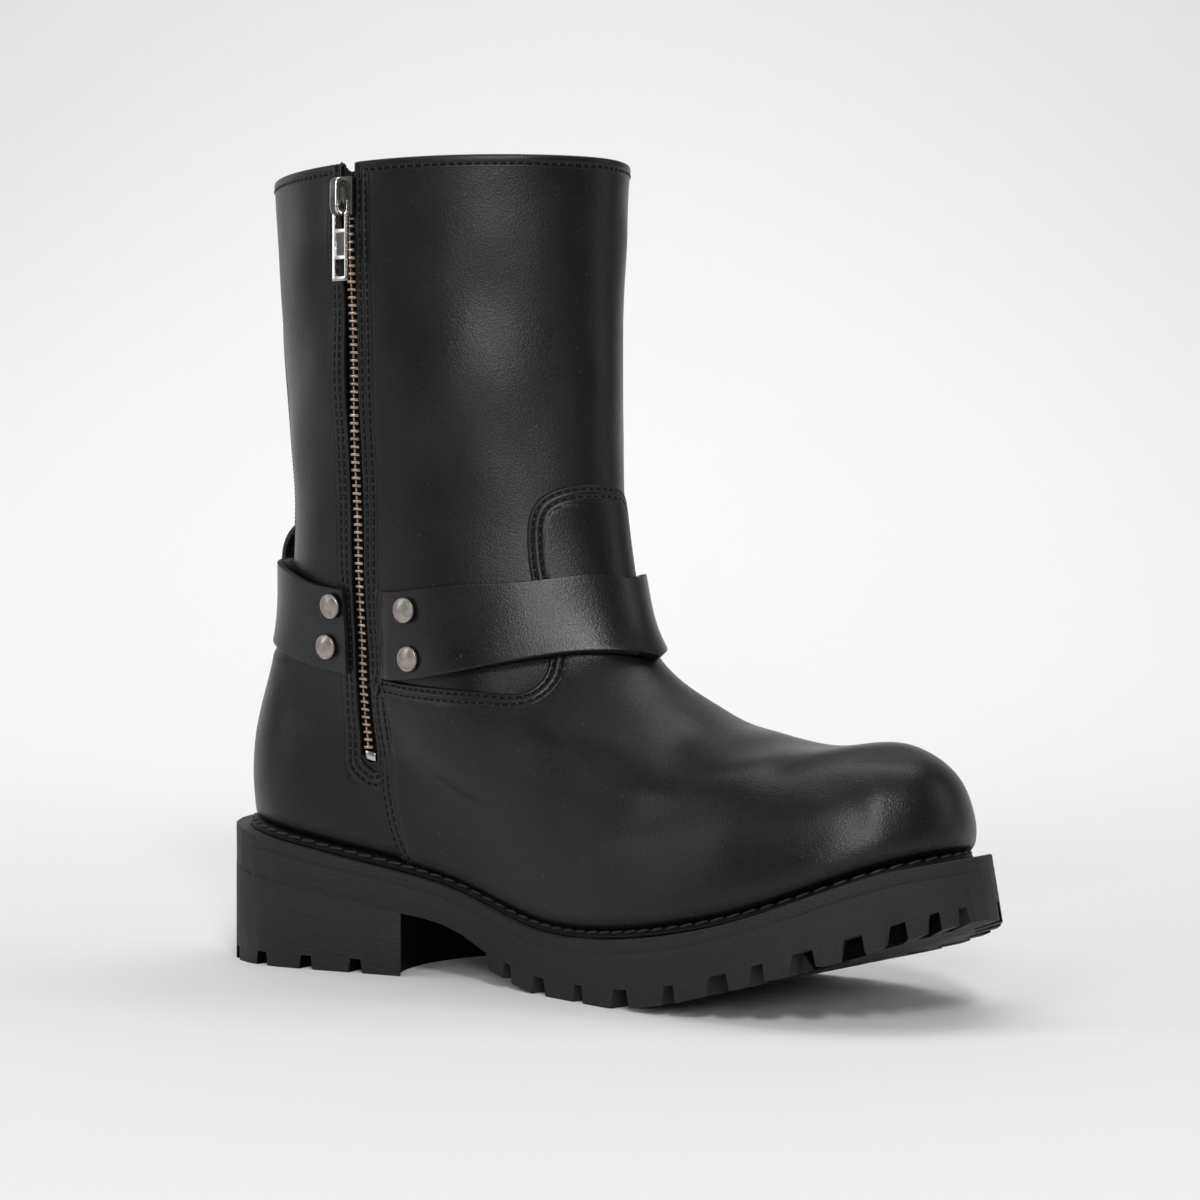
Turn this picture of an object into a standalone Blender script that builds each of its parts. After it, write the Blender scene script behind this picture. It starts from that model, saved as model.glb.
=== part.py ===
"""Left harness boot with an inside zip, built from sections of its last.

All working sizes are millimetres; x runs from the back of the heel to the toe,
-y is the inner (zip) side, z is up. Objects are written in metres with the
origin under the middle of the whole boot.
"""
import bpy
import bmesh
import numpy as np

# Driving sizes
SOLE_LENGTH = 318.0
SOLE_TOP_LENGTH = 314.0      # the toe edge leans back towards the welt
WALL = 2.2                   # leather of the upper
SKIN_GAP = 0.45              # air between the upper and a piece lying on it
VAMP_THICK = 1.5
STRAP_THICK = 2.5
FACING_THICK = 1.3
FACING_WIDTH = 5.5
ZIP_HALF_GAP = 3.5           # half of the slit between the leather edges
TAPE_HALF = 9.0
CHAIN_HALF = 2.4
MIDSOLE_THICK = 4.2
LAYER_GAP = 0.3
SEAT_GAP = 0.5               # under the upper, the welt and the insole
WELT_HEIGHT = 2.3
INSOLE_THICK = 4.0
LUG_DEPTH = 6.0
HEEL_LENGTH = 95.0
HEEL_LUG_DEPTH = 5.0
NOTCH_FLARE = 1.7             # the gaps between the tread blocks open downwards
BREAST_HOLLOW = 13.0
RIVET_RADIUS = 4.5
RIVET_RISE = 1.7
TONGUE_EDGE = 2.40           # turn round the shaft where the tongue begins
SEAM_ROW = 9.2               # section row of the seam between shaft and vamp
TONGUE_ROW = 12.2            # section row of the top of the tongue
ZIP_END_ROW = 4.4            # section row where the slit stops

# Height of the top of the sole along its length
SOLE_TOP = np.array([
    # x,     z
    [0.0,   52.0],
    [30.0,  48.3],
    [62.0,  43.0],
    [95.0,  37.5],
    [115.0, 33.6],
    [135.0, 27.8],
    [155.0, 23.0],
    [175.0, 21.6],
    [200.0, 23.4],
    [230.0, 28.4],
    [255.0, 35.0],
    [280.0, 44.4],
    [300.0, 51.4],
    [314.0, 54.4],
])
# Underside of the sole: flat heel seat, arch, then the tread with its toe spring
SOLE_UNDER = np.array([
    # x,     z
    [0.0,   37.0],
    [95.0,  22.6],
    [104.0, 21.6],
    [113.0, 19.9],
    [122.0, 17.0],
    [134.0, 11.6],
    [135.6,  5.8],
    [145.0,  3.0],
    [156.0,  0.5],
    [162.0,  0.0],
    [195.0,  0.0],
    [205.0,  0.9],
    [217.0,  2.6],
    [230.0,  5.4],
    [249.0, 10.6],
    [261.0, 14.4],
    [271.0, 17.8],
    [281.0, 21.2],
    [290.0, 24.4],
    [300.0, 27.9],
    [310.0, 31.6],
    [318.0, 34.4],
])
# Half widths of the sole outline at five places along it
SOLE_STATION = [0.0, 0.12, 0.38, 0.70, 0.90, 1.0]
SOLE_INNER = [38.0, 40.0, 32.5, 55.5, 50.0, 46.0]
SOLE_OUTER = [38.0, 40.0, 38.5, 60.0, 51.0, 46.0]
SOLE_SKEW = -8.0
TOE_ROLL = 3.5               # the outer edge of the toe hangs lower than the inner

# Sections of the last, from the feather line up to the collar.
# Each row runs from the back (x_back, z_back) to the front (x_front, z_front);
# dip is how far it follows the sag of the sole between them.
COLUMNS = ("x_back", "z_back", "x_front", "z_front", "dip", "heel", "waist_in",
           "waist_out", "ball_in", "ball_out", "toe", "nose", "skew")
SECTIONS = np.array([
    # x_back z_back x_front z_front dip  heel  w_in  w_out b_in  b_out toe   nose  skew
    [7.5,   52.0,  305.0, 53.0,  1.00, 33.5, 28.0, 32.0, 47.0, 51.0, 44.0, 0.22, -8.0],
    [6.8,   60.0,  307.0, 60.0,  1.00, 35.5, 31.0, 34.0, 49.0, 53.0, 46.0, 0.22, -8.0],
    [6.3,   70.0,  306.5, 68.0,  1.00, 36.5, 33.0, 36.0, 49.0, 53.0, 46.0, 0.23, -8.0],
    [6.8,   80.0,  303.0, 78.6,  1.00, 36.5, 35.0, 37.0, 48.0, 51.0, 44.0, 0.25, -8.0],
    [8.2,   88.0,  293.0, 86.6,  0.97, 36.0, 36.0, 38.0, 46.5, 49.0, 41.5, 0.27, -7.5],
    [10.4,  95.0,  276.5, 89.8,  0.93, 35.5, 36.5, 38.0, 46.0, 47.5, 40.5, 0.28, -7.0],
    [13.2, 102.0,  254.0, 87.4,  0.88, 35.0, 37.0, 38.5, 45.5, 46.5, 40.0, 0.28, -6.0],
    [16.6, 109.0,  232.0, 90.2,  0.80, 35.0, 38.0, 39.0, 44.5, 45.5, 40.5, 0.29, -5.0],
    [20.4, 117.0,  211.0, 96.2,  0.70, 35.5, 39.0, 40.0, 43.5, 44.5, 39.0, 0.32, -4.0],
    [24.2, 126.0,  191.6, 106.0, 0.58, 37.0, 40.0, 41.0, 43.0, 43.0, 35.5, 0.38, -3.0],
    [27.0, 136.0,  177.0, 120.6, 0.45, 38.0, 41.0, 42.0, 42.5, 42.5, 33.5, 0.44, -2.0],
    [28.6, 150.0,  169.8, 142.0, 0.30, 40.0, 43.0, 43.0, 43.0, 43.0, 35.0, 0.48, -1.0],
    [28.8, 170.0,  164.6, 170.0, 0.15, 42.0, 45.0, 45.0, 44.0, 44.0, 37.5, 0.50, 0.0],
    [27.0, 195.0,  163.0, 198.0, 0.05, 45.0, 48.0, 48.0, 47.0, 47.0, 41.0, 0.50, 0.0],
    [23.6, 225.0,  162.8, 226.0, 0.00, 47.0, 50.0, 50.0, 49.0, 49.0, 43.0, 0.50, 0.0],
    [21.4, 258.0,  163.2, 259.0, 0.00, 50.0, 53.0, 53.0, 52.0, 52.0, 45.0, 0.50, 0.0],
    [20.0, 288.6,  165.2, 291.0, 0.00, 52.0, 55.0, 55.0, 54.0, 54.0, 47.0, 0.50, 0.0],
])
STATION = [0.0, 0.12, 0.40, 0.68, 0.90, 1.0]
TOP_ROW = len(SECTIONS) - 1

# Middle line of the zip, by section row
ZIP_LINE = np.array([
    # row,  x
    [0.0,  84.0],
    [4.4,  83.2],
    [7.5,  82.7],
    [10.0, 83.7],
    [12.4, 84.8],
    [14.0, 86.8],
    [16.0, 88.9],
])
# Rear edge of the vamp (side seam), by section row
VAMP_EDGE = np.array([
    # row,  x
    [0.0, 99.5],
    [1.8, 94.6],
    [3.0, 93.0],
    [4.4, 93.0],
    [6.0, 92.9],
    [9.2, 94.2],
    [16.0, 96.0],
])
# Seam between shaft and vamp: section row by turn, up to the tongue
SEAM_LINE = np.array([
    # turn, row
    [1.20, 8.80],
    [1.45, 8.90],
    [1.75, 9.12],
    [2.12, 9.20],
    [2.24, 9.38],
    [2.34, 9.66],
    [2.40, 10.00],
    [2.60, 10.15],
    [3.1416, 10.2],
])
# Harness strap edges: section rows of the lower and upper edge by turn from the back
STRAP_EDGE = np.array([
    # turn, low, top, stand_off
    [0.00, 8.40, 11.00, 5.2],
    [0.45, 8.45, 11.00, 4.0],
    [0.80, 8.50, 10.90, 2.0],
    [1.15, 8.75, 10.82, 0.5],
    [1.45, 9.36, 10.98, 0.0],
    [1.90, 9.85, 11.15, 0.0],
    [2.35, 9.96, 11.12, 0.0],
    [2.70, 9.80, 11.10, 0.0],
    [3.1416, 9.50, 11.00, 0.0],
])
# Rivets: x on the strap, section row
RIVETS = {
    "rivet_front_top": (108.0, 10.83),
    "rivet_front_low": (109.4, 10.06),
    "rivet_rear_top": (72.2, 10.52),
    "rivet_rear_low": (68.2, 9.45),
}
# Gaps between the tread blocks along the inner edge: x, width
TREAD_GAPS = np.array([
    [145.2, 4.0],
    [162.0, 6.5],
    [183.0, 4.5],
    [204.0, 7.5],
    [226.0, 4.5],
    [245.5, 7.5],
    [260.0, 4.5],
    [275.0, 7.5],
    [290.0, 6.5],
    [302.0, 5.5],
    [310.5, 4.0],
    [315.8, 4.0],
])
HEEL_GAPS = np.array([
    [3.2, 4.5],
    [16.0, 4.5],
    [34.5, 5.0],
    [55.0, 5.0],
    [76.0, 5.0],
])

MATERIALS = {
    "leather": ((0.022, 0.021, 0.020, 1.0), 0.0, 0.45),
    "rubber": ((0.020, 0.020, 0.020, 1.0), 0.0, 0.75),
    "tape": ((0.010, 0.010, 0.011, 1.0), 0.0, 0.9),
    "brass": ((0.30, 0.22, 0.14, 1.0), 1.0, 0.38),
    "steel": ((0.52, 0.51, 0.49, 1.0), 1.0, 0.30),
    "nickel": ((0.42, 0.38, 0.35, 1.0), 1.0, 0.40),
    "board": ((0.09, 0.075, 0.06, 1.0), 0.0, 0.85),
}


def spline(stations, values, at):
    """Natural cubic spline; values may hold one column per point."""
    s = np.asarray(stations, float)
    at = np.asarray(at, float)
    shape = at.shape
    q = np.clip(at.ravel(), s[0], s[-1])
    v = np.asarray(values, float)
    v = np.repeat(v[:, None], q.size, 1) if v.ndim == 1 else v.reshape(len(s), -1)
    h = np.diff(s)
    n = len(s)
    a = np.eye(n)
    rhs = np.zeros_like(v)
    slope = np.diff(v, axis=0) / h[:, None]
    for i in range(1, n - 1):
        a[i, i - 1:i + 2] = h[i - 1], 2 * (h[i - 1] + h[i]), h[i]
        rhs[i] = 6 * (slope[i] - slope[i - 1])
    m = np.linalg.solve(a, rhs)
    k = np.clip(np.searchsorted(s, q, side="right") - 1, 0, n - 2)
    j = np.arange(q.size)
    hk = h[k]
    u = q - s[k]
    w = s[k + 1] - q
    out = (m[k, j] * w**3 + m[k + 1, j] * u**3) / (6 * hk) \
        + (v[k, j] / hk - m[k, j] * hk / 6) * w + (v[k + 1, j] / hk - m[k + 1, j] * hk / 6) * u
    return out.reshape(shape)


def ease(low, high, at):
    u = np.clip((np.asarray(at, float) - low) / (high - low), 0, 1)
    return u * u * (3 - 2 * u)


def sole_top(x):
    return spline(SOLE_TOP[:, 0], SOLE_TOP[:, 1], x)


def sag(t):
    """Drop of the feather line under the straight line from heel to toe."""
    x0, z0, x1, z1 = SECTIONS[0, :4]
    return sole_top(x0 + (x1 - x0) * t) - (z0 + (z1 - z0) * t)


def last(row, turn):
    """Outer skin of the finished boot at a section row and a turn round it.

    turn 0 is the middle of the back, 0..pi the inner side, pi the front,
    pi..2 pi the outer side.
    """
    row, turn = np.broadcast_arrays(np.asarray(row, float), np.asarray(turn, float))
    k = np.arange(len(SECTIONS))
    r = {c: spline(k, SECTIONS[:, i], row) for i, c in enumerate(COLUMNS)}
    t = (1 - np.cos(turn)) / 2
    inner = np.sin(turn) >= 0
    half = np.where(inner, *[
        spline(STATION, np.stack([r["heel"] * 0.97, r["heel"], r["waist_" + s],
                                  r["ball_" + s], r["toe"], r["toe"] * 0.9]), t)
        for s in ("in", "out")])
    heel_round = 0.14 + 0.36 * np.clip((row / TOP_ROW - 0.5) / 0.4, 0, 1)
    back = np.sqrt(1 - (1 - np.clip(t / heel_round, 0, 1)) ** 2.2)
    nose = np.sqrt(1 - (1 - np.clip((1 - t) / r["nose"], 0, 1)) ** 2.3)
    y = r["skew"] * ease(0.6, 1.15, t) / ease(0.6, 1.15, 1.0) - np.where(inner, 1, -1) * half * back * nose
    x = r["x_back"] + (r["x_front"] - r["x_back"]) * t
    z = r["z_back"] + (r["z_front"] - r["z_back"]) * t + r["dip"] * sag(t)
    return np.stack([x, y, z], -1)


def turn_at(row, x):
    """Turn on the inner side where a section row crosses x."""
    k = np.arange(len(SECTIONS))
    x0, x1 = (spline(k, SECTIONS[:, i], row) for i in (0, 2))
    return np.arccos(np.clip(1 - 2 * (x - x0) / (x1 - x0), -1, 1))


def zip_x(row):
    return spline(ZIP_LINE[:, 0], ZIP_LINE[:, 1], row)


def vamp_turn(row):
    return turn_at(row, spline(VAMP_EDGE[:, 0], VAMP_EDGE[:, 1], row))


def inner_turn(turn):
    """Fold a turn on the outer side onto the inner side."""
    turn = np.asarray(turn, float)
    return np.where(turn > np.pi, 2 * np.pi - turn, turn)


def sink(row, turn):
    """How far the upper lies under the finished skin where the vamp covers it."""
    fold = inner_turn(turn)
    edge = vamp_turn(row)
    depth = SKIN_GAP + VAMP_THICK - 0.05
    return depth * (1 - ease(7.0, 9.6, row)) * ease(edge - 0.24, edge - 0.02, fold)


def skin(row, turn, off):
    """Point at a distance off outside the upper's own outer face."""
    row, turn, off = np.broadcast_arrays(*[np.asarray(a, float) for a in (row, turn, off)])
    d = 0.004
    du = last(row, turn + d) - last(row, turn - d)
    lo, hi = np.clip(row - 0.02, 0, TOP_ROW), np.clip(row + 0.02, 0, TOP_ROW)
    dv = last(hi, turn) - last(lo, turn)
    n = np.cross(du, dv)
    n /= np.linalg.norm(n, axis=-1, keepdims=True)
    return last(row, turn) + n * (off - sink(row, turn))[..., None]


def grid(rows, turns, off):
    """Grid of skin points; the feather row is laid on the top of the sole."""
    p = skin(rows, turns, off)
    foot = np.broadcast_to(rows, p.shape[:2]) < 1e-6
    p[..., 2] = np.where(foot, sole_top(p[..., 0]), p[..., 2])
    top = np.broadcast_to(rows, p.shape[:2]) > TOP_ROW - 1e-6
    flat = last(np.broadcast_to(rows, p.shape[:2]), np.broadcast_to(turns, p.shape[:2]))[..., 2]
    p[..., 2] = np.where(top, flat, p[..., 2])
    return p


PIECES = []


def solid(name, verts, faces, material):
    PIECES.append((name, np.asarray(verts, float), [list(f) for f in faces], material))


def shell_mesh(outer, inner, mask=None, wrap=False):
    """Closed mesh between two grids over the cells kept by mask."""
    nv, nc = outer.shape[:2]
    cells = nc if wrap else nc - 1
    keep = np.ones((nv - 1, cells), bool) if mask is None else mask
    at = lambda i, j: i * nc + j % nc
    under = nv * nc
    faces = []

    def kept(i, j):
        if wrap:
            j %= cells
        return 0 <= i < nv - 1 and 0 <= j < cells and keep[i, j]

    for i in range(nv - 1):
        for j in range(cells):
            if not keep[i, j]:
                continue
            ring = [at(i, j), at(i, j + 1), at(i + 1, j + 1), at(i + 1, j)]
            faces.append(ring)
            faces.append([under + k for k in reversed(ring)])
            for e, (di, dj) in enumerate(((-1, 0), (0, 1), (1, 0), (0, -1))):
                if not kept(i + di, j + dj):
                    a, b = ring[e], ring[(e + 1) % 4]
                    faces.append([b, a, under + a, under + b])
    verts = np.concatenate([outer.reshape(-1, 3), inner.reshape(-1, 3)])
    used = sorted({k for f in faces for k in f})
    new = {k: i for i, k in enumerate(used)}
    return verts[used], [[new[k] for k in f] for f in faces]


def block(corner_low, corner_high):
    """Box from eight corner points: four low ones and four high ones, in order."""
    verts = np.concatenate([corner_low, corner_high])
    faces = [[3, 2, 1, 0], [4, 5, 6, 7]]
    faces += [[k, (k + 1) % 4, 4 + (k + 1) % 4, 4 + k] for k in range(4)]
    return verts, faces


def prism(outline, axis, low, high):
    """Straight prism over an outline of pairs, along axis 0, 1 or 2."""
    def lift(pairs, depth):
        p = np.insert(np.asarray(pairs, float), axis, depth, axis=1)
        return p
    n = len(outline)
    verts = np.concatenate([lift(outline, low), lift(outline, high)])
    faces = [list(range(n))[::-1], list(range(n, 2 * n))]
    faces += [[k, (k + 1) % n, n + (k + 1) % n, n + k] for k in range(n)]
    return verts, faces


def join(*meshes):
    verts, faces, base = [], [], 0
    for v, f in meshes:
        verts.append(v)
        faces += [[base + k for k in ring] for ring in f]
        base += len(v)
    return np.concatenate(verts), faces


# Sole outline and layers
def sole_half(t, widths):
    heel = np.sqrt(1 - (1 - np.clip(t / 0.13, 0, 1)) ** 2.2)
    toe = np.sqrt(1 - (1 - np.clip((1 - t) / 0.22, 0, 1)) ** 2.4)
    return spline(SOLE_STATION, widths, t) * heel * toe


def sole_edge(turn):
    """Plan outline of the tread (x, y) at a turn."""
    turn = np.asarray(turn, float)
    t = (1 - np.cos(turn)) / 2
    y = SOLE_SKEW * ease(0.6, 1.15, t) / ease(0.6, 1.15, 1.0)
    y = y + np.where(np.sin(turn) >= 0, -sole_half(t, SOLE_INNER), sole_half(t, SOLE_OUTER))
    return np.stack([SOLE_LENGTH * t, y], -1)


def sole_ring(turn, drop=0.0):
    """Edge of the sole a given drop below its top, along the leaning side wall."""
    e = sole_edge(turn)
    top = np.stack([e[:, 0] * SOLE_TOP_LENGTH / SOLE_LENGTH, e[:, 1],
                    sole_top(e[:, 0] * SOLE_TOP_LENGTH / SOLE_LENGTH) - SEAT_GAP], -1)
    roll = TOE_ROLL * ease(215, 290, e[:, 0]) * ease(-25, 40, e[:, 1])
    low = np.stack([e[:, 0], e[:, 1], np.interp(e[:, 0], SOLE_UNDER[:, 0], SOLE_UNDER[:, 1]) - roll], -1)
    lean = low - top
    lean /= np.linalg.norm(lean, axis=1, keepdims=True)
    return top + lean * drop, low


def edge_turn(x):
    return np.arccos(1 - 2 * np.asarray(x, float) / SOLE_LENGTH)


def edge_normal(turn):
    d = 0.003
    e = sole_edge(np.array([turn - d, turn + d]))
    t = e[1] - e[0]
    n = np.array([t[1], -t[0]]) / np.hypot(*t)
    if np.dot(n, sole_edge(np.array([turn]))[0] - np.array([SOLE_LENGTH * 0.5, 0])) < 0:
        n = -n
    return n


def slab(upper_ring, lower_ring):
    """Plate between two rings whose columns pair off across the foot."""
    n = len(upper_ring)
    half = n // 2
    verts = np.concatenate([upper_ring, lower_ring])
    faces = []
    for k in range(half):
        a, b = k, k + 1
        c, d = (n - k - 1) % n, (n - k) % n
        face = [a, b] + ([c] if c != b else []) + ([d] if d != a else [])
        faces.append(face)
        faces.append([n + i for i in reversed(face)])
    faces += [[k, (k + 1) % n, n + (k + 1) % n, n + k] for k in range(n)]
    return verts, faces


def sole_turns():
    """Even spread of turns plus the places where the underside bends."""
    marks = edge_turn(SOLE_UNDER[1:-1, 0])
    spread = np.linspace(0, np.pi, 31)
    spread = np.array([s for s in spread if np.min(np.abs(marks - s)) > 0.035])
    half = np.unique(np.concatenate([spread, marks]))
    return np.concatenate([half, (2 * np.pi - half[1:-1])[::-1]])


def notch(x, width, side, depth_in, height, floor):
    """Wedge that cuts a gap between tread blocks, square to the sole edge."""
    turn = float(edge_turn(x))
    turn = turn if side < 0 else 2 * np.pi - turn
    p = sole_edge(np.array([turn]))[0]
    n = edge_normal(turn)
    t = np.array([-n[1], n[0]])
    corners = []
    for z, grow in ((floor(p[0]) - 9.0, NOTCH_FLARE), (floor(p[0]) + height, 0.86)):
        w = width / 2 * grow
        base = [p + n * 6 - t * w, p + n * 6 + t * w, p - n * depth_in + t * w, p - n * depth_in - t * w]
        ring = []
        for q in base:
            ring.append([q[0], q[1], z + floor(q[0]) - floor(p[0])])
        corners.append(ring)
    return block(np.array(corners[0]), np.array(corners[1]))


def channel(turns, inset, width, height, floor):
    """Groove that follows the sole edge at an inset."""
    rings = []
    for d in (inset, inset + width):
        pts = []
        for a in turns:
            p = sole_edge(np.array([a]))[0] - edge_normal(a) * d
            pts.append(p)
        rings.append(np.array(pts))
    n = len(turns)
    loops = []
    for ring, rise in ((rings[0], -9.0), (rings[1], -9.0), (rings[1], height), (rings[0], height)):
        loops.append(np.stack([ring[:, 0], ring[:, 1], np.array([floor(x) for x in ring[:, 0]]) + rise], -1))
    verts = np.concatenate(loops)
    faces = []
    for a in range(4):
        b = (a + 1) % 4
        faces += [[a * n + k, a * n + k + 1, b * n + k + 1, b * n + k] for k in range(n - 1)]
    faces += [[0, n, 2 * n, 3 * n], [n - 1, 4 * n - 1, 3 * n - 1, 2 * n - 1]]
    return verts, faces


# Upper
ROWS = np.array([0, 0.8, 1.8, 2.8, 3.6, ZIP_END_ROW, 5.2, 6.0, 6.8, 7.6, 8.2, 8.7, SEAM_ROW,
                 9.7, 10.2, 10.8, 11.5, TONGUE_ROW, 13.0, 14.0, 15.0, 16.0])[:, None]
SIDE_STEPS = 10      # columns from the zip or the side seam to the tongue edge
FRONT_STEPS = 8      # columns from the tongue edge to the middle of the front
BACK_STEPS = 7       # columns from the zip to the middle of the back


def runs(start, stop, steps):
    return start + (stop - start) * np.arange(steps) / steps


def upper_turns(row):
    z0 = turn_at(row, zip_x(row) - ZIP_HALF_GAP)
    z1 = turn_at(row, zip_x(row) + ZIP_HALF_GAP)
    far = 2 * np.pi - TONGUE_EDGE
    return np.concatenate([runs(0, z0, BACK_STEPS), [z0], runs(z1, TONGUE_EDGE, SIDE_STEPS),
                           runs(TONGUE_EDGE, np.pi, FRONT_STEPS), runs(np.pi, far, FRONT_STEPS),
                           runs(far, 2 * np.pi, SIDE_STEPS + BACK_STEPS - 1)])


def make_upper():
    turns = np.stack([upper_turns(float(r)) for r in ROWS[:, 0]])
    outer, inner = grid(ROWS, turns, 0.0), grid(ROWS, turns, -WALL)
    mask = np.ones((len(ROWS) - 1, turns.shape[1]), bool)
    mask[ROWS[:-1, 0] >= ZIP_END_ROW - 1e-6, BACK_STEPS] = False
    solid("upper", *shell_mesh(outer, inner, mask, wrap=True), "leather")


def make_vamp():
    """Vamp with its tongue, lying on the upper."""
    low = [0, 0.8, 1.8, 2.8, 3.6, 4.4, 5.2, 6.0, 6.8, 7.5, 8.1, 8.65]
    steps = len(low)
    tongue = 5
    fold = []
    for k in range(SIDE_STEPS + 1):
        fold.append(("side", k / SIDE_STEPS))
    for k in range(1, FRONT_STEPS + 1):
        fold.append(("front", k / FRONT_STEPS))
    cols = []
    for kind, f in fold:
        col_rows, col_turns = [], []
        for i in range(steps + tongue + 1):
            if kind == "side":
                guess = TONGUE_EDGE * f + 1.35 * (1 - f)
            else:
                guess = TONGUE_EDGE + (np.pi - TONGUE_EDGE) * f
            seam = float(spline(SEAM_LINE[:, 0], SEAM_LINE[:, 1], guess))
            if i <= steps:
                r = low[i] if i < steps else SEAM_ROW
                r = r if r <= 6.0 else 6.0 + (r - 6.0) * (seam - 6.0) / (SEAM_ROW - 6.0)
            else:
                edge = 1.0 if kind == "side" else max(0.0, 1 - f * FRONT_STEPS / 3.0)
                crown = TONGUE_ROW - 0.42 * edge ** 2
                r = seam + (crown - seam) * (i - steps) / tongue
            if kind == "side":
                e = float(vamp_turn(r))
                a = e + (TONGUE_EDGE - e) * f
            else:
                a = guess
            col_rows.append(r)
            col_turns.append(a)
        cols.append((col_rows, col_turns))
    inner_rows = np.array([c[0] for c in cols]).T
    inner_turns = np.array([c[1] for c in cols]).T
    rows = np.concatenate([inner_rows, inner_rows[:, -2::-1]], 1)
    turns = np.concatenate([inner_turns, 2 * np.pi - inner_turns[:, -2::-1]], 1)
    # a little more air in the hollow of the instep
    air = SKIN_GAP + 0.4 * ease(5.6, 7.0, rows) * (1 - ease(9.0, 10.0, rows))
    under, over = grid(rows, turns, air), grid(rows, turns, air + VAMP_THICK)
    mask = np.ones((rows.shape[0] - 1, rows.shape[1] - 1), bool)
    mask[steps:, :SIDE_STEPS] = False
    mask[steps:, -SIDE_STEPS:] = False
    solid("vamp", *shell_mesh(over, under, mask), "leather")


def strap_off(turn):
    """Clearance of the strap: it rides over the tongue at the front."""
    return 0.75 + 2.15 * ease(1.75, 2.34, inner_turn(turn))


def strap_point(turn, across, out):
    fold = inner_turn(turn)
    low, top, stand = (spline(STRAP_EDGE[:, 0], STRAP_EDGE[:, i], fold) for i in (1, 2, 3))
    row = low + (top - low) * across
    return skin(row, turn, strap_off(turn) + stand * across ** 1.3 + out)


def strap_turn_ends():
    """Turns of the two strap ends beside the zip facing, at mid width."""
    row = 9.9
    reach = ZIP_HALF_GAP + FACING_WIDTH + 0.5
    return float(turn_at(row, zip_x(row) + reach)), float(turn_at(row, zip_x(row) - reach))


def make_strap():
    front, rear = strap_turn_ends()
    far = 2 * np.pi - TONGUE_EDGE
    turns = np.concatenate([runs(front, TONGUE_EDGE, 9), runs(TONGUE_EDGE, np.pi, FRONT_STEPS),
                            runs(np.pi, far, FRONT_STEPS), runs(far, 2 * np.pi + rear, 20), [2 * np.pi + rear]])
    turns = np.where(turns > 2 * np.pi, turns - 2 * np.pi, turns)
    across = np.array([0, 0.33, 0.67, 1.0])[:, None]
    grids = []
    for out in (STRAP_THICK, 0.0):
        g = np.zeros((len(across), len(turns), 3))
        for i, a in enumerate(across[:, 0]):
            g[i] = strap_point(turns, a, out)
        grids.append(g)
    # both ends run along the zip facing
    for end, sign in ((0, 1), (-1, -1)):
        low, top = (spline(STRAP_EDGE[:, 0], STRAP_EDGE[:, i], inner_turn(turns[end])) for i in (1, 2))
        row = low + (top - low) * across[:, 0]
        for g in grids:
            g[:, end, 0] = zip_x(row) + sign * (ZIP_HALF_GAP + FACING_WIDTH + 0.5)
    solid("harness_strap", *shell_mesh(grids[0], grids[1]), "leather")


def make_keeper():
    """Belt loop over the strap at the middle of the back."""
    half = 9.0
    thick = 2.2
    strap_low = strap_point(np.array([0.0]), 0.0, STRAP_THICK)[0]
    strap_top = strap_point(np.array([0.0]), 1.0, STRAP_THICK)[0]
    heel = lambda z: float(np.interp(z, *back_profile()))
    path = [
        (heel(strap_low[2] - 15) - 0.6, strap_low[2] - 15),
        (heel(strap_low[2] - 8) - 0.9, strap_low[2] - 8),
        (strap_low[0] - 0.6, strap_low[2] - 1.5),
        ((strap_low[0] + strap_top[0]) / 2 - 0.9, (strap_low[2] + strap_top[2]) / 2),
        (strap_top[0] - 0.7, strap_top[2] + 0.5),
        (strap_top[0] + 0.8, strap_top[2] + 6.0),
        (strap_top[0] + 4.0, strap_top[2] + 10.0),
        (heel(strap_top[2] + 13) - 0.7, strap_top[2] + 13),
        (heel(strap_top[2] + 20) - 0.5, strap_top[2] + 20),
    ]
    path = np.array(path)
    k = np.arange(len(path))
    fine = np.linspace(0, len(path) - 1, 19)
    path = np.stack([spline(k, path[:, 0], fine), spline(k, path[:, 1], fine)], -1)
    tangent = np.gradient(path, axis=0)
    normal = np.stack([-tangent[:, 1], tangent[:, 0]], -1)
    normal /= np.linalg.norm(normal, axis=1, keepdims=True)
    outer = path + normal * thick
    grids = []
    for face in (outer, path):
        g = np.zeros((2, len(fine), 3))
        for i, y in enumerate((-half, half)):
            g[i, :, 0], g[i, :, 1], g[i, :, 2] = face[:, 0], y, face[:, 1]
        grids.append(g)
    solid("strap_keeper", *shell_mesh(grids[0], grids[1]), "leather")


def back_profile():
    rows = np.linspace(0, TOP_ROW, 120)
    p = last(rows, np.zeros_like(rows))
    # the loop is flat across, so it clears the back at its own half width
    q = skin(rows, np.full_like(rows, 0.0), 0.0)
    return p[:, 2], q[:, 0]


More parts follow.
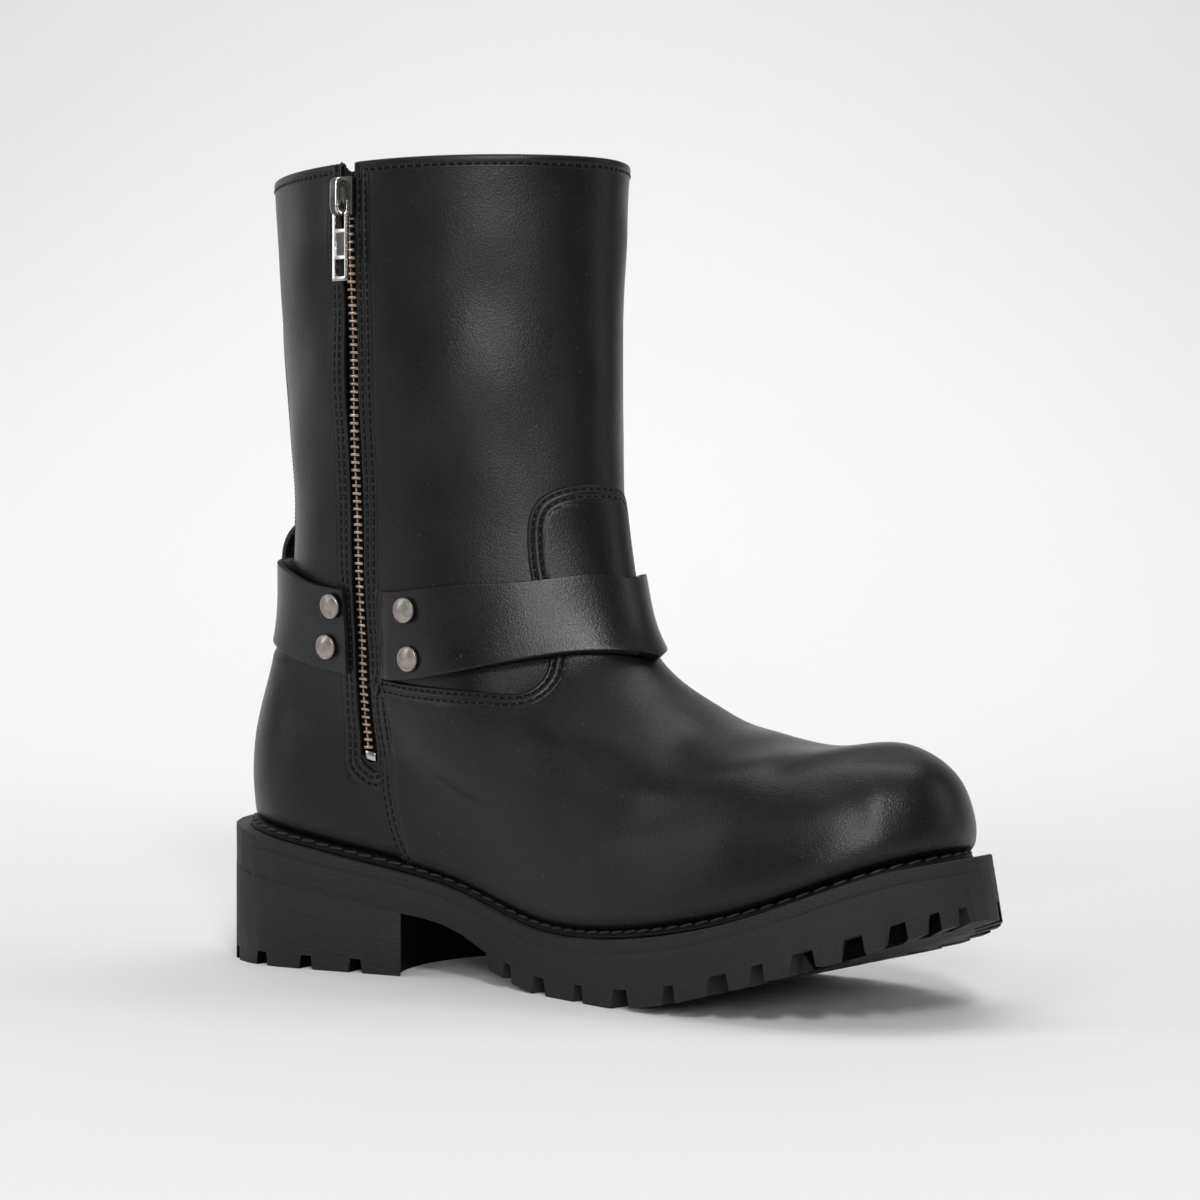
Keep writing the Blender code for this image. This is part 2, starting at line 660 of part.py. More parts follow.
def make_rivets():
    for name, (x, row) in RIVETS.items():
        turn = np.array([float(turn_at(row, x))])
        fold = inner_turn(turn)
        low, top = (spline(STRAP_EDGE[:, 0], STRAP_EDGE[:, i], fold) for i in (1, 2))
        across = (row - low) / (top - low)
        base = strap_point(turn, across, STRAP_THICK + 0.35)[0]
        ahead = strap_point(turn, across, STRAP_THICK + 1.35)[0]
        n = ahead - base
        # square to the strap face, which may stand off the leather
        du = strap_point(turn + 0.01, across, STRAP_THICK)[0] - strap_point(turn - 0.01, across, STRAP_THICK)[0]
        dv = strap_point(turn, across + 0.03, STRAP_THICK)[0] - strap_point(turn, across - 0.03, STRAP_THICK)[0]
        m = np.cross(du, dv)
        m /= np.linalg.norm(m)
        n = m if np.dot(m, n) > 0 else -m
        a = np.cross(n, [0, 0, 1.0])
        a /= np.linalg.norm(a)
        b = np.cross(n, a)
        count = 16
        ring = np.linspace(0, 2 * np.pi, count, endpoint=False)
        verts, faces = [], []
        for radius, rise in ((1.0, 0.0), (0.97, 0.32), (0.72, 0.78)):
            for q in ring:
                verts.append(base + RIVET_RADIUS * radius * (a * np.cos(q) + b * np.sin(q)) + n * RIVET_RISE * rise)
        verts.append(base + n * RIVET_RISE)
        for s in range(2):
            faces += [[s * count + k, s * count + (k + 1) % count,
                       (s + 1) * count + (k + 1) % count, (s + 1) * count + k] for k in range(count)]
        faces += [[2 * count + k, 2 * count + (k + 1) % count, 3 * count] for k in range(count)]
        faces.append(list(range(count))[::-1])
        solid(name, verts, faces, "nickel")


# Zip
def zip_strip(rows, lefts, off_low, off_high, mask=None):
    """Strip along the zip: lefts are distances from its middle line."""
    rows = np.asarray(rows, float)
    turns = np.array([[float(turn_at(r, zip_x(r) + d)) for d in lefts] for r in rows])
    return shell_mesh(grid(rows[:, None], turns, off_high), grid(rows[:, None], turns, off_low), mask)


def make_zip():
    w = ZIP_HALF_GAP
    rows = np.concatenate([[3.85, ZIP_END_ROW], np.linspace(ZIP_END_ROW, TOP_ROW, 17)[1:]])
    lefts = [-w - FACING_WIDTH, -w - FACING_WIDTH / 2, -w, w, w + FACING_WIDTH / 2, w + FACING_WIDTH]
    mask = np.ones((len(rows) - 1, len(lefts) - 1), bool)
    mask[1:, 2] = False
    solid("zip_facing", *zip_strip(rows, lefts, SKIN_GAP + 0.1, SKIN_GAP + FACING_THICK, mask), "leather")

    rows = np.linspace(4.05, TOP_ROW - 0.05, 17)
    back = -WALL - 0.55
    solid("zip_tape", *zip_strip(rows, [-TAPE_HALF, 0, TAPE_HALF], back - 0.9, back), "tape")

    rows = np.linspace(5.05, 15.75, 14)
    solid("zip_chain", *zip_strip(rows, [-CHAIN_HALF, CHAIN_HALF], back + 0.4, -0.1), "brass")

    rows = np.array([4.52, 4.92])
    solid("zip_stop", *zip_strip(rows, [-2.0, 2.0], back + 0.3, 0.2), "brass")

    # Slider: T-shaped body over the chain with a bridge for the pull
    row = 15.62
    turn = float(turn_at(row, zip_x(row)))
    seat = skin(row, turn, 0.0)
    x, y, z = (float(q) for q in seat)
    out = lambda d: y - d
    body = [(x - 2.9, out(0.55)), (x + 2.9, out(0.55)), (x + 2.9, out(2.2)), (x + 4.3, out(2.4)),
            (x + 4.3, out(3.3)), (x - 4.3, out(3.3)), (x - 4.3, out(2.4)), (x - 2.9, out(2.2))]
    low, high = z - 6.8, z + 6.8
    slider = [prism(body, 2, low, high)]
    bridge = [(out(3.2), z - 4.6), (out(5.2), z - 4.6), (out(6.4), z - 3.4), (out(6.4), z + 3.4),
              (out(5.2), z + 4.6), (out(3.2), z + 4.6), (out(3.2), z + 3.2), (out(4.6), z + 3.2),
              (out(5.2), z + 2.6), (out(5.2), z - 2.6), (out(4.6), z - 3.2), (out(3.2), z - 3.2)]
    slider.append(prism(bridge, 0, x - 0.9, x + 0.9))
    SLIDER.extend(slider)

    # Pull: flat tab with two windows, hung on the bridge
    axis = z - 2.2
    y0, y1 = out(3.65), out(4.75)
    HINGE.extend([x, (y0 + y1) / 2, axis])
    half, length = 3.4, 27.0
    outline = [(x - 2.6, axis + 0.55), (x + 2.6, axis + 0.55), (x + half, axis - 1.0), (x + half, axis - length),
               (x + half - 0.9, axis - length - 0.9), (x - half + 0.9, axis - length - 0.9),
               (x - half, axis - length), (x - half, axis - 1.0)]
    PULL.append(prism(outline, 1, y1, y0))
    for wide, top, bottom in ((1.5, axis - 0.55, axis - 9.6), (1.7, axis - 20.2, axis - 26.4)):
        window = [(x - wide, top), (x + wide, top), (x + wide, bottom), (x - wide, bottom)]
        PULL_WINDOWS.append(prism(window, 1, y1 - 2, y0 + 2))


SLIDER, PULL, PULL_WINDOWS, HINGE = [], [], [], []


def make_sole():
    turns = sole_turns()
    top, under = sole_ring(turns)
    mid, _ = sole_ring(turns, MIDSOLE_THICK)
    solid("midsole", *slab(top, mid), "rubber")

    # Welt: a bead round the foot of the upper
    ring = np.concatenate([np.linspace(0, np.pi, 29), np.linspace(np.pi, 2 * np.pi, 29)[1:-1]])
    foot = last(np.zeros_like(ring), ring)
    e = sole_ring(ring)[0]
    away = np.array([edge_normal(a) for a in ring])
    loops = []
    for frac, rise in ((0.0, 0.0), (0.0, WELT_HEIGHT), (0.55, WELT_HEIGHT), (1.0, 0.9), (1.0, 0.0)):
        near = foot[:, :2] + away * (0.9 + 0.35 * rise)
        far = e[:, :2] - away * 2.2
        p = near + (far - near) * frac
        loops.append(np.stack([p[:, 0], p[:, 1], sole_top(p[:, 0]) + rise], -1))
    n = len(ring)
    faces = []
    for a in range(len(loops)):
        b = (a + 1) % len(loops)
        faces += [[a * n + k, a * n + (k + 1) % n, b * n + (k + 1) % n, b * n + k] for k in range(n)]
    solid("welt", np.concatenate(loops), faces, "leather")

    # Insole inside the upper
    inside = skin(np.zeros_like(ring), ring, -WALL - 0.9)
    low, high = inside.copy(), inside.copy()
    low[:, 2] = sole_top(low[:, 0])
    high[:, 2] = low[:, 2] + INSOLE_THICK
    solid("insole", *slab(high, low), "board")

    # Outsole and heel are cut later; their plain bodies first
    out_top, _ = sole_ring(turns, MIDSOLE_THICK + LAYER_GAP)
    SOLE_BODIES["outsole"] = slab(out_top, under)
    floor = lambda x: float(np.interp(x, SOLE_UNDER[:, 0], SOLE_UNDER[:, 1]))
    cuts = [notch(x, w, s, 15.0 if x < 296 else 9.0, LUG_DEPTH, floor) for x, w in TREAD_GAPS for s in (-1, 1)]
    CUTS["outsole"] = [join(*cuts)]
    for side in (-1, 1):
        a = np.linspace(float(edge_turn(150.0)), float(edge_turn(288.0)), 12)
        CUTS["outsole"].append(channel(a if side < 0 else 2 * np.pi - a, 17.0, 5.0, LUG_DEPTH - 1.0, floor))
    bars = []
    for x in (172.0, 194.0, 216.0, 236.0, 256.0, 274.0):
        z = floor(x)
        slope = floor(x + 3) - floor(x - 3)
        ring = [[x - 2.5, -27.0], [x + 2.5, -27.0], [x + 2.5, 27.0], [x - 2.5, 27.0]]
        bars.append(block(np.array([[px, py, z - 9] for px, py in ring]),
                          np.array([[px, py, z + LUG_DEPTH - 1.5 + slope * (px - x) / 6] for px, py in ring])))
    CUTS["outsole"].append(join(*bars))

    # Heel: outline of the sole back to front, closed by a hollow breast
    a = np.linspace(0, float(edge_turn(HEEL_LENGTH)), 15)
    inner = sole_edge(a)
    outer = sole_edge(2 * np.pi - a[1:])
    left, right = inner[-1], outer[-1]
    hollow = []
    for f in np.linspace(0, 1, 11)[1:-1]:
        p = left + (right - left) * f
        hollow.append([p[0] - BREAST_HOLLOW * np.sin(np.pi * f) ** 0.7, p[1]])
    outline = np.concatenate([outer[::-1], inner, np.array(hollow)])
    seat = np.interp(outline[:, 0], SOLE_UNDER[:, 0], SOLE_UNDER[:, 1]) - LAYER_GAP
    n = len(outline)
    verts = np.concatenate([np.column_stack([outline, np.zeros(n)]), np.column_stack([outline, seat])])
    faces = [list(range(n))[::-1], list(range(n, 2 * n))]
    faces += [[k, (k + 1) % n, n + (k + 1) % n, n + k] for k in range(n)]
    SOLE_BODIES["heel"] = (verts, faces)
    ground = lambda x: 0.0
    cuts = [notch(x, w, s, 10.0, HEEL_LUG_DEPTH, ground) for x, w in HEEL_GAPS for s in (-1, 1)]
    CUTS["heel"] = [join(*cuts)]
    a = np.linspace(-float(edge_turn(78.0)), float(edge_turn(78.0)), 17)
    CUTS["heel"].append(channel(np.where(a < 0, a + 2 * np.pi, a), 13.0, 4.0, HEEL_LUG_DEPTH - 1.0, ground))


SOLE_BODIES, CUTS = {}, {}


# Blender objects
def material(name):
    mat = bpy.data.materials.get(name)
    if mat is None:
        colour, metallic, rough = MATERIALS[name.split(".")[0]]
        mat = bpy.data.materials.new(name)
        mat.use_nodes = True
        node = mat.node_tree.nodes["Principled BSDF"]
        node.inputs["Base Color"].default_value = colour
        node.inputs["Metallic"].default_value = metallic
        node.inputs["Roughness"].default_value = rough
        mat.diffuse_color = colour
    return mat


def add_object(name, verts, faces, shift):
    mesh = bpy.data.meshes.new(name)
    mesh.from_pydata([tuple(v) for v in (np.asarray(verts) - shift) * 0.001], [], faces)
    bm = bmesh.new()
    bm.from_mesh(mesh)
    bmesh.ops.remove_doubles(bm, verts=bm.verts, dist=1e-7)
    bmesh.ops.recalc_face_normals(bm, faces=bm.faces)
    bm.to_mesh(mesh)
    bm.free()
    obj = bpy.data.objects.new(name, mesh)
    bpy.context.scene.collection.objects.link(obj)
    return obj


def combine(obj, tool, operation):
    mod = obj.modifiers.new("cut", "BOOLEAN")
    mod.operation = operation
    mod.solver = "EXACT"
    mod.object = tool
    bpy.context.view_layer.objects.active = obj
    bpy.ops.object.modifier_apply(modifier=mod.name)
    bpy.data.objects.remove(tool)


def main():
    for obj in list(bpy.data.objects):
        bpy.data.objects.remove(obj)
    make_upper()
    make_vamp()
    make_strap()
    make_keeper()
    make_rivets()
    make_zip()
    make_sole()

    bulk = [v for _, v, _, _ in PIECES] + [b[0] for b in SOLE_BODIES.values()] \
        + [m[0] for m in SLIDER] + [m[0] for m in PULL]
    points = np.concatenate(bulk)
    low, high = points.min(0), points.max(0)
    shift = np.array([(low[0] + high[0]) / 2, (low[1] + high[1]) / 2, low[2]])

    made = []
    for name, verts, faces, slot in PIECES:
        made.append((add_object(name, verts, faces, shift), slot))
    for name, body in SOLE_BODIES.items():
        obj = add_object(name, *body, shift)
        for cut in CUTS[name]:
            combine(obj, add_object("cutter", *cut, shift), "DIFFERENCE")
        made.append((obj, "rubber"))
    obj = add_object("zip_slider", *SLIDER[0], shift)
    for extra in SLIDER[1:]:
        combine(obj, add_object("cutter", *extra, shift), "UNION")
    made.append((obj, "steel"))
    obj = add_object("zip_pull", *PULL[0], shift)
    for window in PULL_WINDOWS:
        combine(obj, add_object("cutter", *window, shift), "DIFFERENCE")
    made.append((obj, "steel"))
    for obj, slot in made:
        mat = material(slot + "." + obj.name)
        obj.data.materials.clear()
        obj.data.materials.append(mat)
    hinge = (np.array(HINGE) - shift) * 0.001
    print("hinge", [round(float(v), 5) for v in hinge], "shift", [round(float(v), 3) for v in shift])


main()
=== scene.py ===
import math
from contextlib import contextmanager

import bmesh
import bpy
import numpy as np
from bpy.props import FloatProperty, FloatVectorProperty, PointerProperty
from bpy.types import Operator, Panel, PropertyGroup
from mathutils import Matrix, Vector
from mathutils.bvhtree import BVHTree
from mathutils.kdtree import KDTree


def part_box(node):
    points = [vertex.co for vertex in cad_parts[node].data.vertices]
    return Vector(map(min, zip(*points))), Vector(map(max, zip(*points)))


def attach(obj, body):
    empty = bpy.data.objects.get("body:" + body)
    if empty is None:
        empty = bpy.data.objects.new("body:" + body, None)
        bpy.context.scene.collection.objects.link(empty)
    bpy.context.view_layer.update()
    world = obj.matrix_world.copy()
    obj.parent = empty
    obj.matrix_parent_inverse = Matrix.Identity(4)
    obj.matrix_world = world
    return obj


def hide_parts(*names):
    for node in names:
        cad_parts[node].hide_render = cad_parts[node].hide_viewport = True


bl_info = {
    "name": "Harness Boot Dresser",
    "version": (1, 0, 0),
    "blender": (4, 5, 0),
    "location": "View3D > Sidebar > Boot",
    "description": "Dresses the solids of a zipped harness boot with leather, thread, zip and sole",
    "category": "Object",
}

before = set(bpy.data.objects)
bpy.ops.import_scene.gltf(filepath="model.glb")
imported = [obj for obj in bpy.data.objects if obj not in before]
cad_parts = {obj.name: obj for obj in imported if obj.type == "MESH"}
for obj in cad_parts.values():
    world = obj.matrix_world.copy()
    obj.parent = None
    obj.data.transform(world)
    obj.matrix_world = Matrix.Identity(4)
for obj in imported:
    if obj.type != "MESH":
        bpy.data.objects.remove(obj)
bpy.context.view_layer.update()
BOOT = "boot"
PULL = "pull"
MM = 0.001

# Sections of the last in millimetres, from the feather line up to the collar,
# as the solids have them: the seams and rows of thread are laid out on them.
COLUMNS = ("x_back", "z_back", "x_front", "z_front", "dip", "heel", "waist_in",
           "waist_out", "ball_in", "ball_out", "toe", "nose", "skew")
SECTIONS = np.array([
    [7.5, 52.0, 305.0, 53.0, 1.00, 33.5, 28.0, 32.0, 47.0, 51.0, 44.0, 0.22, -8.0],
    [6.8, 60.0, 307.0, 60.0, 1.00, 35.5, 31.0, 34.0, 49.0, 53.0, 46.0, 0.22, -8.0],
    [6.3, 70.0, 306.5, 68.0, 1.00, 36.5, 33.0, 36.0, 49.0, 53.0, 46.0, 0.23, -8.0],
    [6.8, 80.0, 303.0, 78.6, 1.00, 36.5, 35.0, 37.0, 48.0, 51.0, 44.0, 0.25, -8.0],
    [8.2, 88.0, 293.0, 86.6, 0.97, 36.0, 36.0, 38.0, 46.5, 49.0, 41.5, 0.27, -7.5],
    [10.4, 95.0, 276.5, 89.8, 0.93, 35.5, 36.5, 38.0, 46.0, 47.5, 40.5, 0.28, -7.0],
    [13.2, 102.0, 254.0, 87.4, 0.88, 35.0, 37.0, 38.5, 45.5, 46.5, 40.0, 0.28, -6.0],
    [16.6, 109.0, 232.0, 90.2, 0.80, 35.0, 38.0, 39.0, 44.5, 45.5, 40.5, 0.29, -5.0],
    [20.4, 117.0, 211.0, 96.2, 0.70, 35.5, 39.0, 40.0, 43.5, 44.5, 39.0, 0.32, -4.0],
    [24.2, 126.0, 191.6, 106.0, 0.58, 37.0, 40.0, 41.0, 43.0, 43.0, 35.5, 0.38, -3.0],
    [27.0, 136.0, 177.0, 120.6, 0.45, 38.0, 41.0, 42.0, 42.5, 42.5, 33.5, 0.44, -2.0],
    [28.6, 150.0, 169.8, 142.0, 0.30, 40.0, 43.0, 43.0, 43.0, 43.0, 35.0, 0.48, -1.0],
    [28.8, 170.0, 164.6, 170.0, 0.15, 42.0, 45.0, 45.0, 44.0, 44.0, 37.5, 0.50, 0.0],
    [27.0, 195.0, 163.0, 198.0, 0.05, 45.0, 48.0, 48.0, 47.0, 47.0, 41.0, 0.50, 0.0],
    [23.6, 225.0, 162.8, 226.0, 0.00, 47.0, 50.0, 50.0, 49.0, 49.0, 43.0, 0.50, 0.0],
    [21.4, 258.0, 163.2, 259.0, 0.00, 50.0, 53.0, 53.0, 52.0, 52.0, 45.0, 0.50, 0.0],
    [20.0, 288.6, 165.2, 291.0, 0.00, 52.0, 55.0, 55.0, 54.0, 54.0, 47.0, 0.50, 0.0],
])
STATION = [0.0, 0.12, 0.40, 0.68, 0.90, 1.0]
TOP_ROW = len(SECTIONS) - 1
SHIFT = np.array([159.0, -0.977, 0.0])
SOLE_TOP = np.array([
    [0.0, 52.0], [30.0, 48.3], [62.0, 43.0], [95.0, 37.5], [115.0, 33.6],
    [135.0, 27.8], [155.0, 23.0], [175.0, 21.6], [200.0, 23.4], [230.0, 28.4],
    [255.0, 35.0], [280.0, 44.4], [300.0, 51.4], [314.0, 54.4],
])
ZIP_LINE = np.array([
    [0.0, 82.4], [4.4, 81.5], [7.5, 81.2], [10.0, 82.6], [12.4, 84.8], [14.0, 86.8], [16.0, 88.9],
])
# Edge of the vamp: x up its side by section row, then (row, turn) along the seam and
# round the tongue
VAMP_SIDE = np.array([
    [0.0, 95.8], [0.5, 93.4], [1.6, 89.9], [2.7, 88.2], [3.6, 87.6], [4.8, 88.4], [6.5, 89.0], [8.5, 89.6],
])
VAMP_SEAM = np.array([
    [8.86, 1.305], [9.10, 1.365], [9.30, 1.45], [9.46, 1.58], [9.53, 1.745], [9.51, 1.90],
    [9.44, 2.03], [9.37, 2.12], [9.38, 2.205], [9.50, 2.285], [9.71, 2.35], [9.99, 2.395],
    [10.4, 2.41], [10.85, 2.39], [11.30, 2.374], [11.65, 2.386], [11.86, 2.408], [12.00, 2.446],
    [12.10, 2.500], [12.16, 2.570], [12.20, 2.670], [12.21, 2.880], [12.20, 3.090], [12.16, 3.250],
    [12.06, 3.365], [11.88, 3.440], [11.60, 3.480], [11.20, 3.500], [10.60, 3.560], [10.05, 3.720],
    [9.70, 3.900], [9.52, 4.080], [9.51, 4.25], [9.55, 4.383], [9.56, 4.538], [9.48, 4.703],
    [9.30, 4.833], [9.10, 4.918], [8.86, 4.978],
])
# In mm: half the slit of the zip, wall of the shaft, height of the vamp above the last, how far the
# leather turns in at its foot, rows of thread inside an edge, and depth and width of their troughs
ZIP_HALF_GAP = 3.5
WALL = 2.2
VAMP_HEIGHT = 1.95
FOOT_TUCK = 3.0
EDGE_ROWS = (1.5, 4.2)
FACING_ROWS = (1.7, 4.3)
COLLAR_ROW = 2.9
STITCH_DEPTH = 0.42
STITCH_WIDTH = 0.55
# Also in mm: wall of the bands along edges, and where the vamp's cover begins under its band
EDGE_WALL = 0.4
BAND_OVERLAP = 3.0
# Section rows of the slit's foot, the slider and the top of the vamp's side
ZIP_END_ROW = 4.2
SLIDER_ROW = 15.62
VAMP_SIDE_TOP = 8.5
# Height in mm of the last row of sections, and the turn of the back stay's edge
COLLAR_STEP = 31.0
BACK_STAY = 0.57
# Steps for slopes on the last, and pitch in mm of the points along an edge
TURN_STEP, ROW_STEP = 0.004, 0.02
EDGE_PITCH = 0.9
FULL_TURN = 2 * math.pi
MERGE = 1e-6
FAR = 1e6

# Soft folds of the leather: depth (negative for a ridge) and width in mm,
# then (row, turn) along the fold
FOLDS = (
    (1.5, 13.0, ((7.3, 2.65), (7.35, 2.85), (7.45, 3.14), (7.5, 3.45))),
    (0.6, 9.0, ((6.5, 2.75), (6.5, 3.00), (6.6, 3.40))),
    (0.7, 10.0, ((4.4, 1.80), (5.2, 2.00), (5.9, 2.20))),
    (-0.4, 4.6, ((3.75, 2.784), (2.9, 2.700), (1.7, 2.698))),
    (-0.35, 6.5, ((2.75, 2.520), (2.05, 2.585))),
    (0.3, 5.0, ((3.4, 2.62), (2.4, 2.635))),
    (0.6, 6.0, ((5.1, 2.60), (4.4, 2.80), (4.2, 3.00))),
    (1.3, 22.0, ((4.3, 2.70), (4.1, 3.14), (4.3, 3.60))),
    (1.8, 13.0, ((5.3, 2.68), (5.45, 2.85), (5.5, 3.10), (5.6, 3.45))),
)


def spline(stations, values, at):
    """Natural cubic spline; values may hold one column per point."""
    s = np.asarray(stations, float)
    at = np.asarray(at, float)
    shape = at.shape
    q = np.clip(at.ravel(), s[0], s[-1])
    v = np.asarray(values, float)
    v = np.repeat(v[:, None], q.size, 1) if v.ndim == 1 else v.reshape(len(s), -1)
    h = np.diff(s)
    n = len(s)
    a = np.eye(n)
    rhs = np.zeros_like(v)
    slope = np.diff(v, axis=0) / h[:, None]
    for i in range(1, n - 1):
        a[i, i - 1:i + 2] = h[i - 1], 2 * (h[i - 1] + h[i]), h[i]
        rhs[i] = 6 * (slope[i] - slope[i - 1])
    m = np.linalg.solve(a, rhs)
    k = np.clip(np.searchsorted(s, q, side="right") - 1, 0, n - 2)
    j = np.arange(q.size)
    hk = h[k]
    u = q - s[k]
    w = s[k + 1] - q
    out = ((m[k, j] * w**3 + m[k + 1, j] * u**3) / (6 * hk)
           + (v[k, j] / hk - m[k, j] * hk / 6) * w + (v[k + 1, j] / hk - m[k + 1, j] * hk / 6) * u)
    return out.reshape(shape)


def ease(low, high, at):
    """Soft step from 0 at low to 1 at high."""
    u = np.clip((np.asarray(at, float) - low) / (high - low), 0, 1)
    return u * u * (3 - 2 * u)


def sole_top(x):
    """Height in mm of the top of the sole at x."""
    return spline(SOLE_TOP[:, 0], SOLE_TOP[:, 1], x)


def last(row, turn):
    """Skin of the boot at a section row and a turn round it, in millimetres."""
    row, turn = np.broadcast_arrays(np.asarray(row, float), np.asarray(turn, float))
    k = np.arange(len(SECTIONS))
    r = {c: spline(k, SECTIONS[:, i], row) for i, c in enumerate(COLUMNS)}
    t = (1 - np.cos(turn)) / 2
    inner = np.sin(turn) >= 0
    half = np.where(inner, *[
        spline(STATION, np.stack([r["heel"] * 0.97, r["heel"], r["waist_" + s],
                                  r["ball_" + s], r["toe"], r["toe"] * 0.9]), t)
        for s in ("in", "out")])
    heel_round = 0.14 + 0.36 * np.clip((row / TOP_ROW - 0.5) / 0.4, 0, 1)
    back = np.sqrt(1 - (1 - np.clip(t / heel_round, 0, 1)) ** 2.2)
    nose = np.sqrt(1 - (1 - np.clip((1 - t) / r["nose"], 0, 1)) ** 2.3)
    swing = r["skew"] * ease(0.6, 1.15, t) / ease(0.6, 1.15, 1.0)
    y = swing - np.where(inner, 1, -1) * half * back * nose
    x0, z0, x1, z1 = SECTIONS[0, :4]
    sag = sole_top(x0 + (x1 - x0) * t) - (z0 + (z1 - z0) * t)
    x = r["x_back"] + (r["x_front"] - r["x_back"]) * t
    z = r["z_back"] + (r["z_front"] - r["z_back"]) * t + r["dip"] * sag
    return np.stack([x, y, z], -1)


def turn_at(row, x):
    """Turn on the inner side where a section row crosses x."""
    k = np.arange(len(SECTIONS))
    x0, x1 = (spline(k, SECTIONS[:, i], row) for i in (0, 2))
    return np.arccos(np.clip(1 - 2 * (x - x0) / (x1 - x0), -1, 1))


def zip_x(row):
    """Middle of the zip at a section row, as x in mm."""
    return spline(ZIP_LINE[:, 0], ZIP_LINE[:, 1], row)


def front_gap(row):
    """Half width in mm of the slit in front of the zip; it opens a little towards its foot."""
    return ZIP_HALF_GAP + 1.2 * (1 - ease(8.0, 11.5, row))


def unit(v):
    return v / np.linalg.norm(v, axis=-1, keepdims=True)


def slopes(row, turn):
    """Change of the last along its rows and its turns, and the way out of it."""
    lo, hi = (np.clip(row + step, 0, TOP_ROW) for step in (-ROW_STEP, ROW_STEP))
    by_row = (last(hi, turn) - last(lo, turn)) / np.asarray(hi - lo)[..., None]
    by_turn = (last(row, turn + TURN_STEP) - last(row, turn - TURN_STEP)) / (2 * TURN_STEP)
    return by_row, by_turn, unit(np.cross(by_turn, by_row))


def skin(row, turn, off=0.0):
    """Point in metres, in the boot's frame, at off millimetres outside the skin."""
    row, turn, off = np.broadcast_arrays(*[np.asarray(a, float) for a in (row, turn, off)])
    return (last(row, turn) + slopes(row, turn)[2] * off[..., None] - SHIFT) * MM


def relief(row, turn):
    """Height in mm of the leather's waves, folds and tucked-in foot above the last."""
    row, turn = np.broadcast_arrays(np.asarray(row, float), np.asarray(turn, float))
    p = last(row, turn).reshape(-1, 3)
    r = row.ravel()
    h = smooth_noise(p, 75.0, 4) * 0.55 + smooth_noise(p, 28.0, 5) * 0.17
    h += smooth_noise(p, 46.0, 6) * 0.6 * ease(11.8, 13.2, r)
    for depth, width, spots in FOLDS:
        k = np.arange(len(spots))
        fine = np.linspace(0, len(spots) - 1, 24)
        path = last(spline(k, [q[0] for q in spots], fine), spline(k, [q[1] for q in spots], fine))
        h -= depth * np.exp(-(near_path(p, path, width * 3) / width) ** 2)
    h *= (1 - ease(15.0, 15.9, r)) * ease(0.1, 1.4, r)
    # pressed flat under the strap
    h *= 1 - 0.8 * ease(9.7, 10.3, r) * (1 - ease(11.5, 12.2, r))
    h -= FOOT_TUCK * (1 - ease(-0.45, 0.8, r))
    return h.reshape(row.shape)


def hide(row, turn, off=0.0):
    """Point in metres on the leather, off millimetres above its first layer."""
    return skin(row, turn, off + relief(row, turn))


def beside(path, distances):
    """Section rows and turns at distances in mm to the right of a path on the last."""
    row, turn = np.array(path, float).T
    ahead = np.gradient(last(row, turn), axis=0)
    done, lines = 0.0, []
    for d in distances:
        steps = max(1, int(abs(d - done) / 0.7))
        for _ in range(steps):
            by_row, by_turn, n = slopes(row, turn)
            side = np.cross(ahead, n)
            side *= ((d - done) / steps / np.linalg.norm(side, axis=-1))[..., None]
            rr, rt, tt = (np.sum(a * b, -1) for a, b in
                          ((by_row, by_row), (by_row, by_turn), (by_turn, by_turn)))
            sr, st = np.sum(side * by_row, -1), np.sum(side * by_turn, -1)
            det = rr * tt - rt * rt
            row = np.clip(row + (sr * tt - st * rt) / det, 0, TOP_ROW)
            turn = turn + (st * rr - sr * rt) / det
        done = d
        lines.append(np.stack([row, turn], -1))
    return np.array(lines)


def smooth_line(points, pitch):
    """Spline through (row, turn) points, about a pitch in mm apart on the last."""
    points = np.asarray(points, float)
    s = np.concatenate([[0], np.cumsum(np.linalg.norm(np.diff(last(*points.T), axis=0), axis=1))])
    at = np.linspace(0, s[-1], int(s[-1] / pitch) + 1)
    return np.stack([spline(s, points[:, i], at) for i in (0, 1)], -1)


# Small helpers for modelling
def deselect():
    if bpy.context.object and bpy.context.object.mode != "OBJECT":
        bpy.ops.object.mode_set(mode="OBJECT")
    bpy.ops.object.select_all(action="DESELECT")


def pick(obj):
    deselect()
    obj.select_set(True)
    bpy.context.view_layer.objects.active = obj


@contextmanager
def editing(obj):
    """Edit mode with all of a piece selected."""
    pick(obj)
    bpy.ops.object.mode_set(mode="EDIT")
    bpy.ops.mesh.select_all(action="SELECT")
    yield
    bpy.ops.object.mode_set(mode="OBJECT")


@contextmanager
def opened(obj):
    """Mesh of a piece as a bmesh that is written back at the end."""
    bm = bmesh.new()
    bm.from_mesh(obj.data)
    yield bm
    bm.to_mesh(obj.data)
    bm.free()


def finish_modifier(obj, kind, **settings):
    """Adds a modifier and applies it."""
    pick(obj)
    mod = obj.modifiers.new(kind.lower(), kind)
    for key, value in settings.items():
        setattr(mod, key, value)
    bpy.ops.object.modifier_apply(modifier=mod.name)


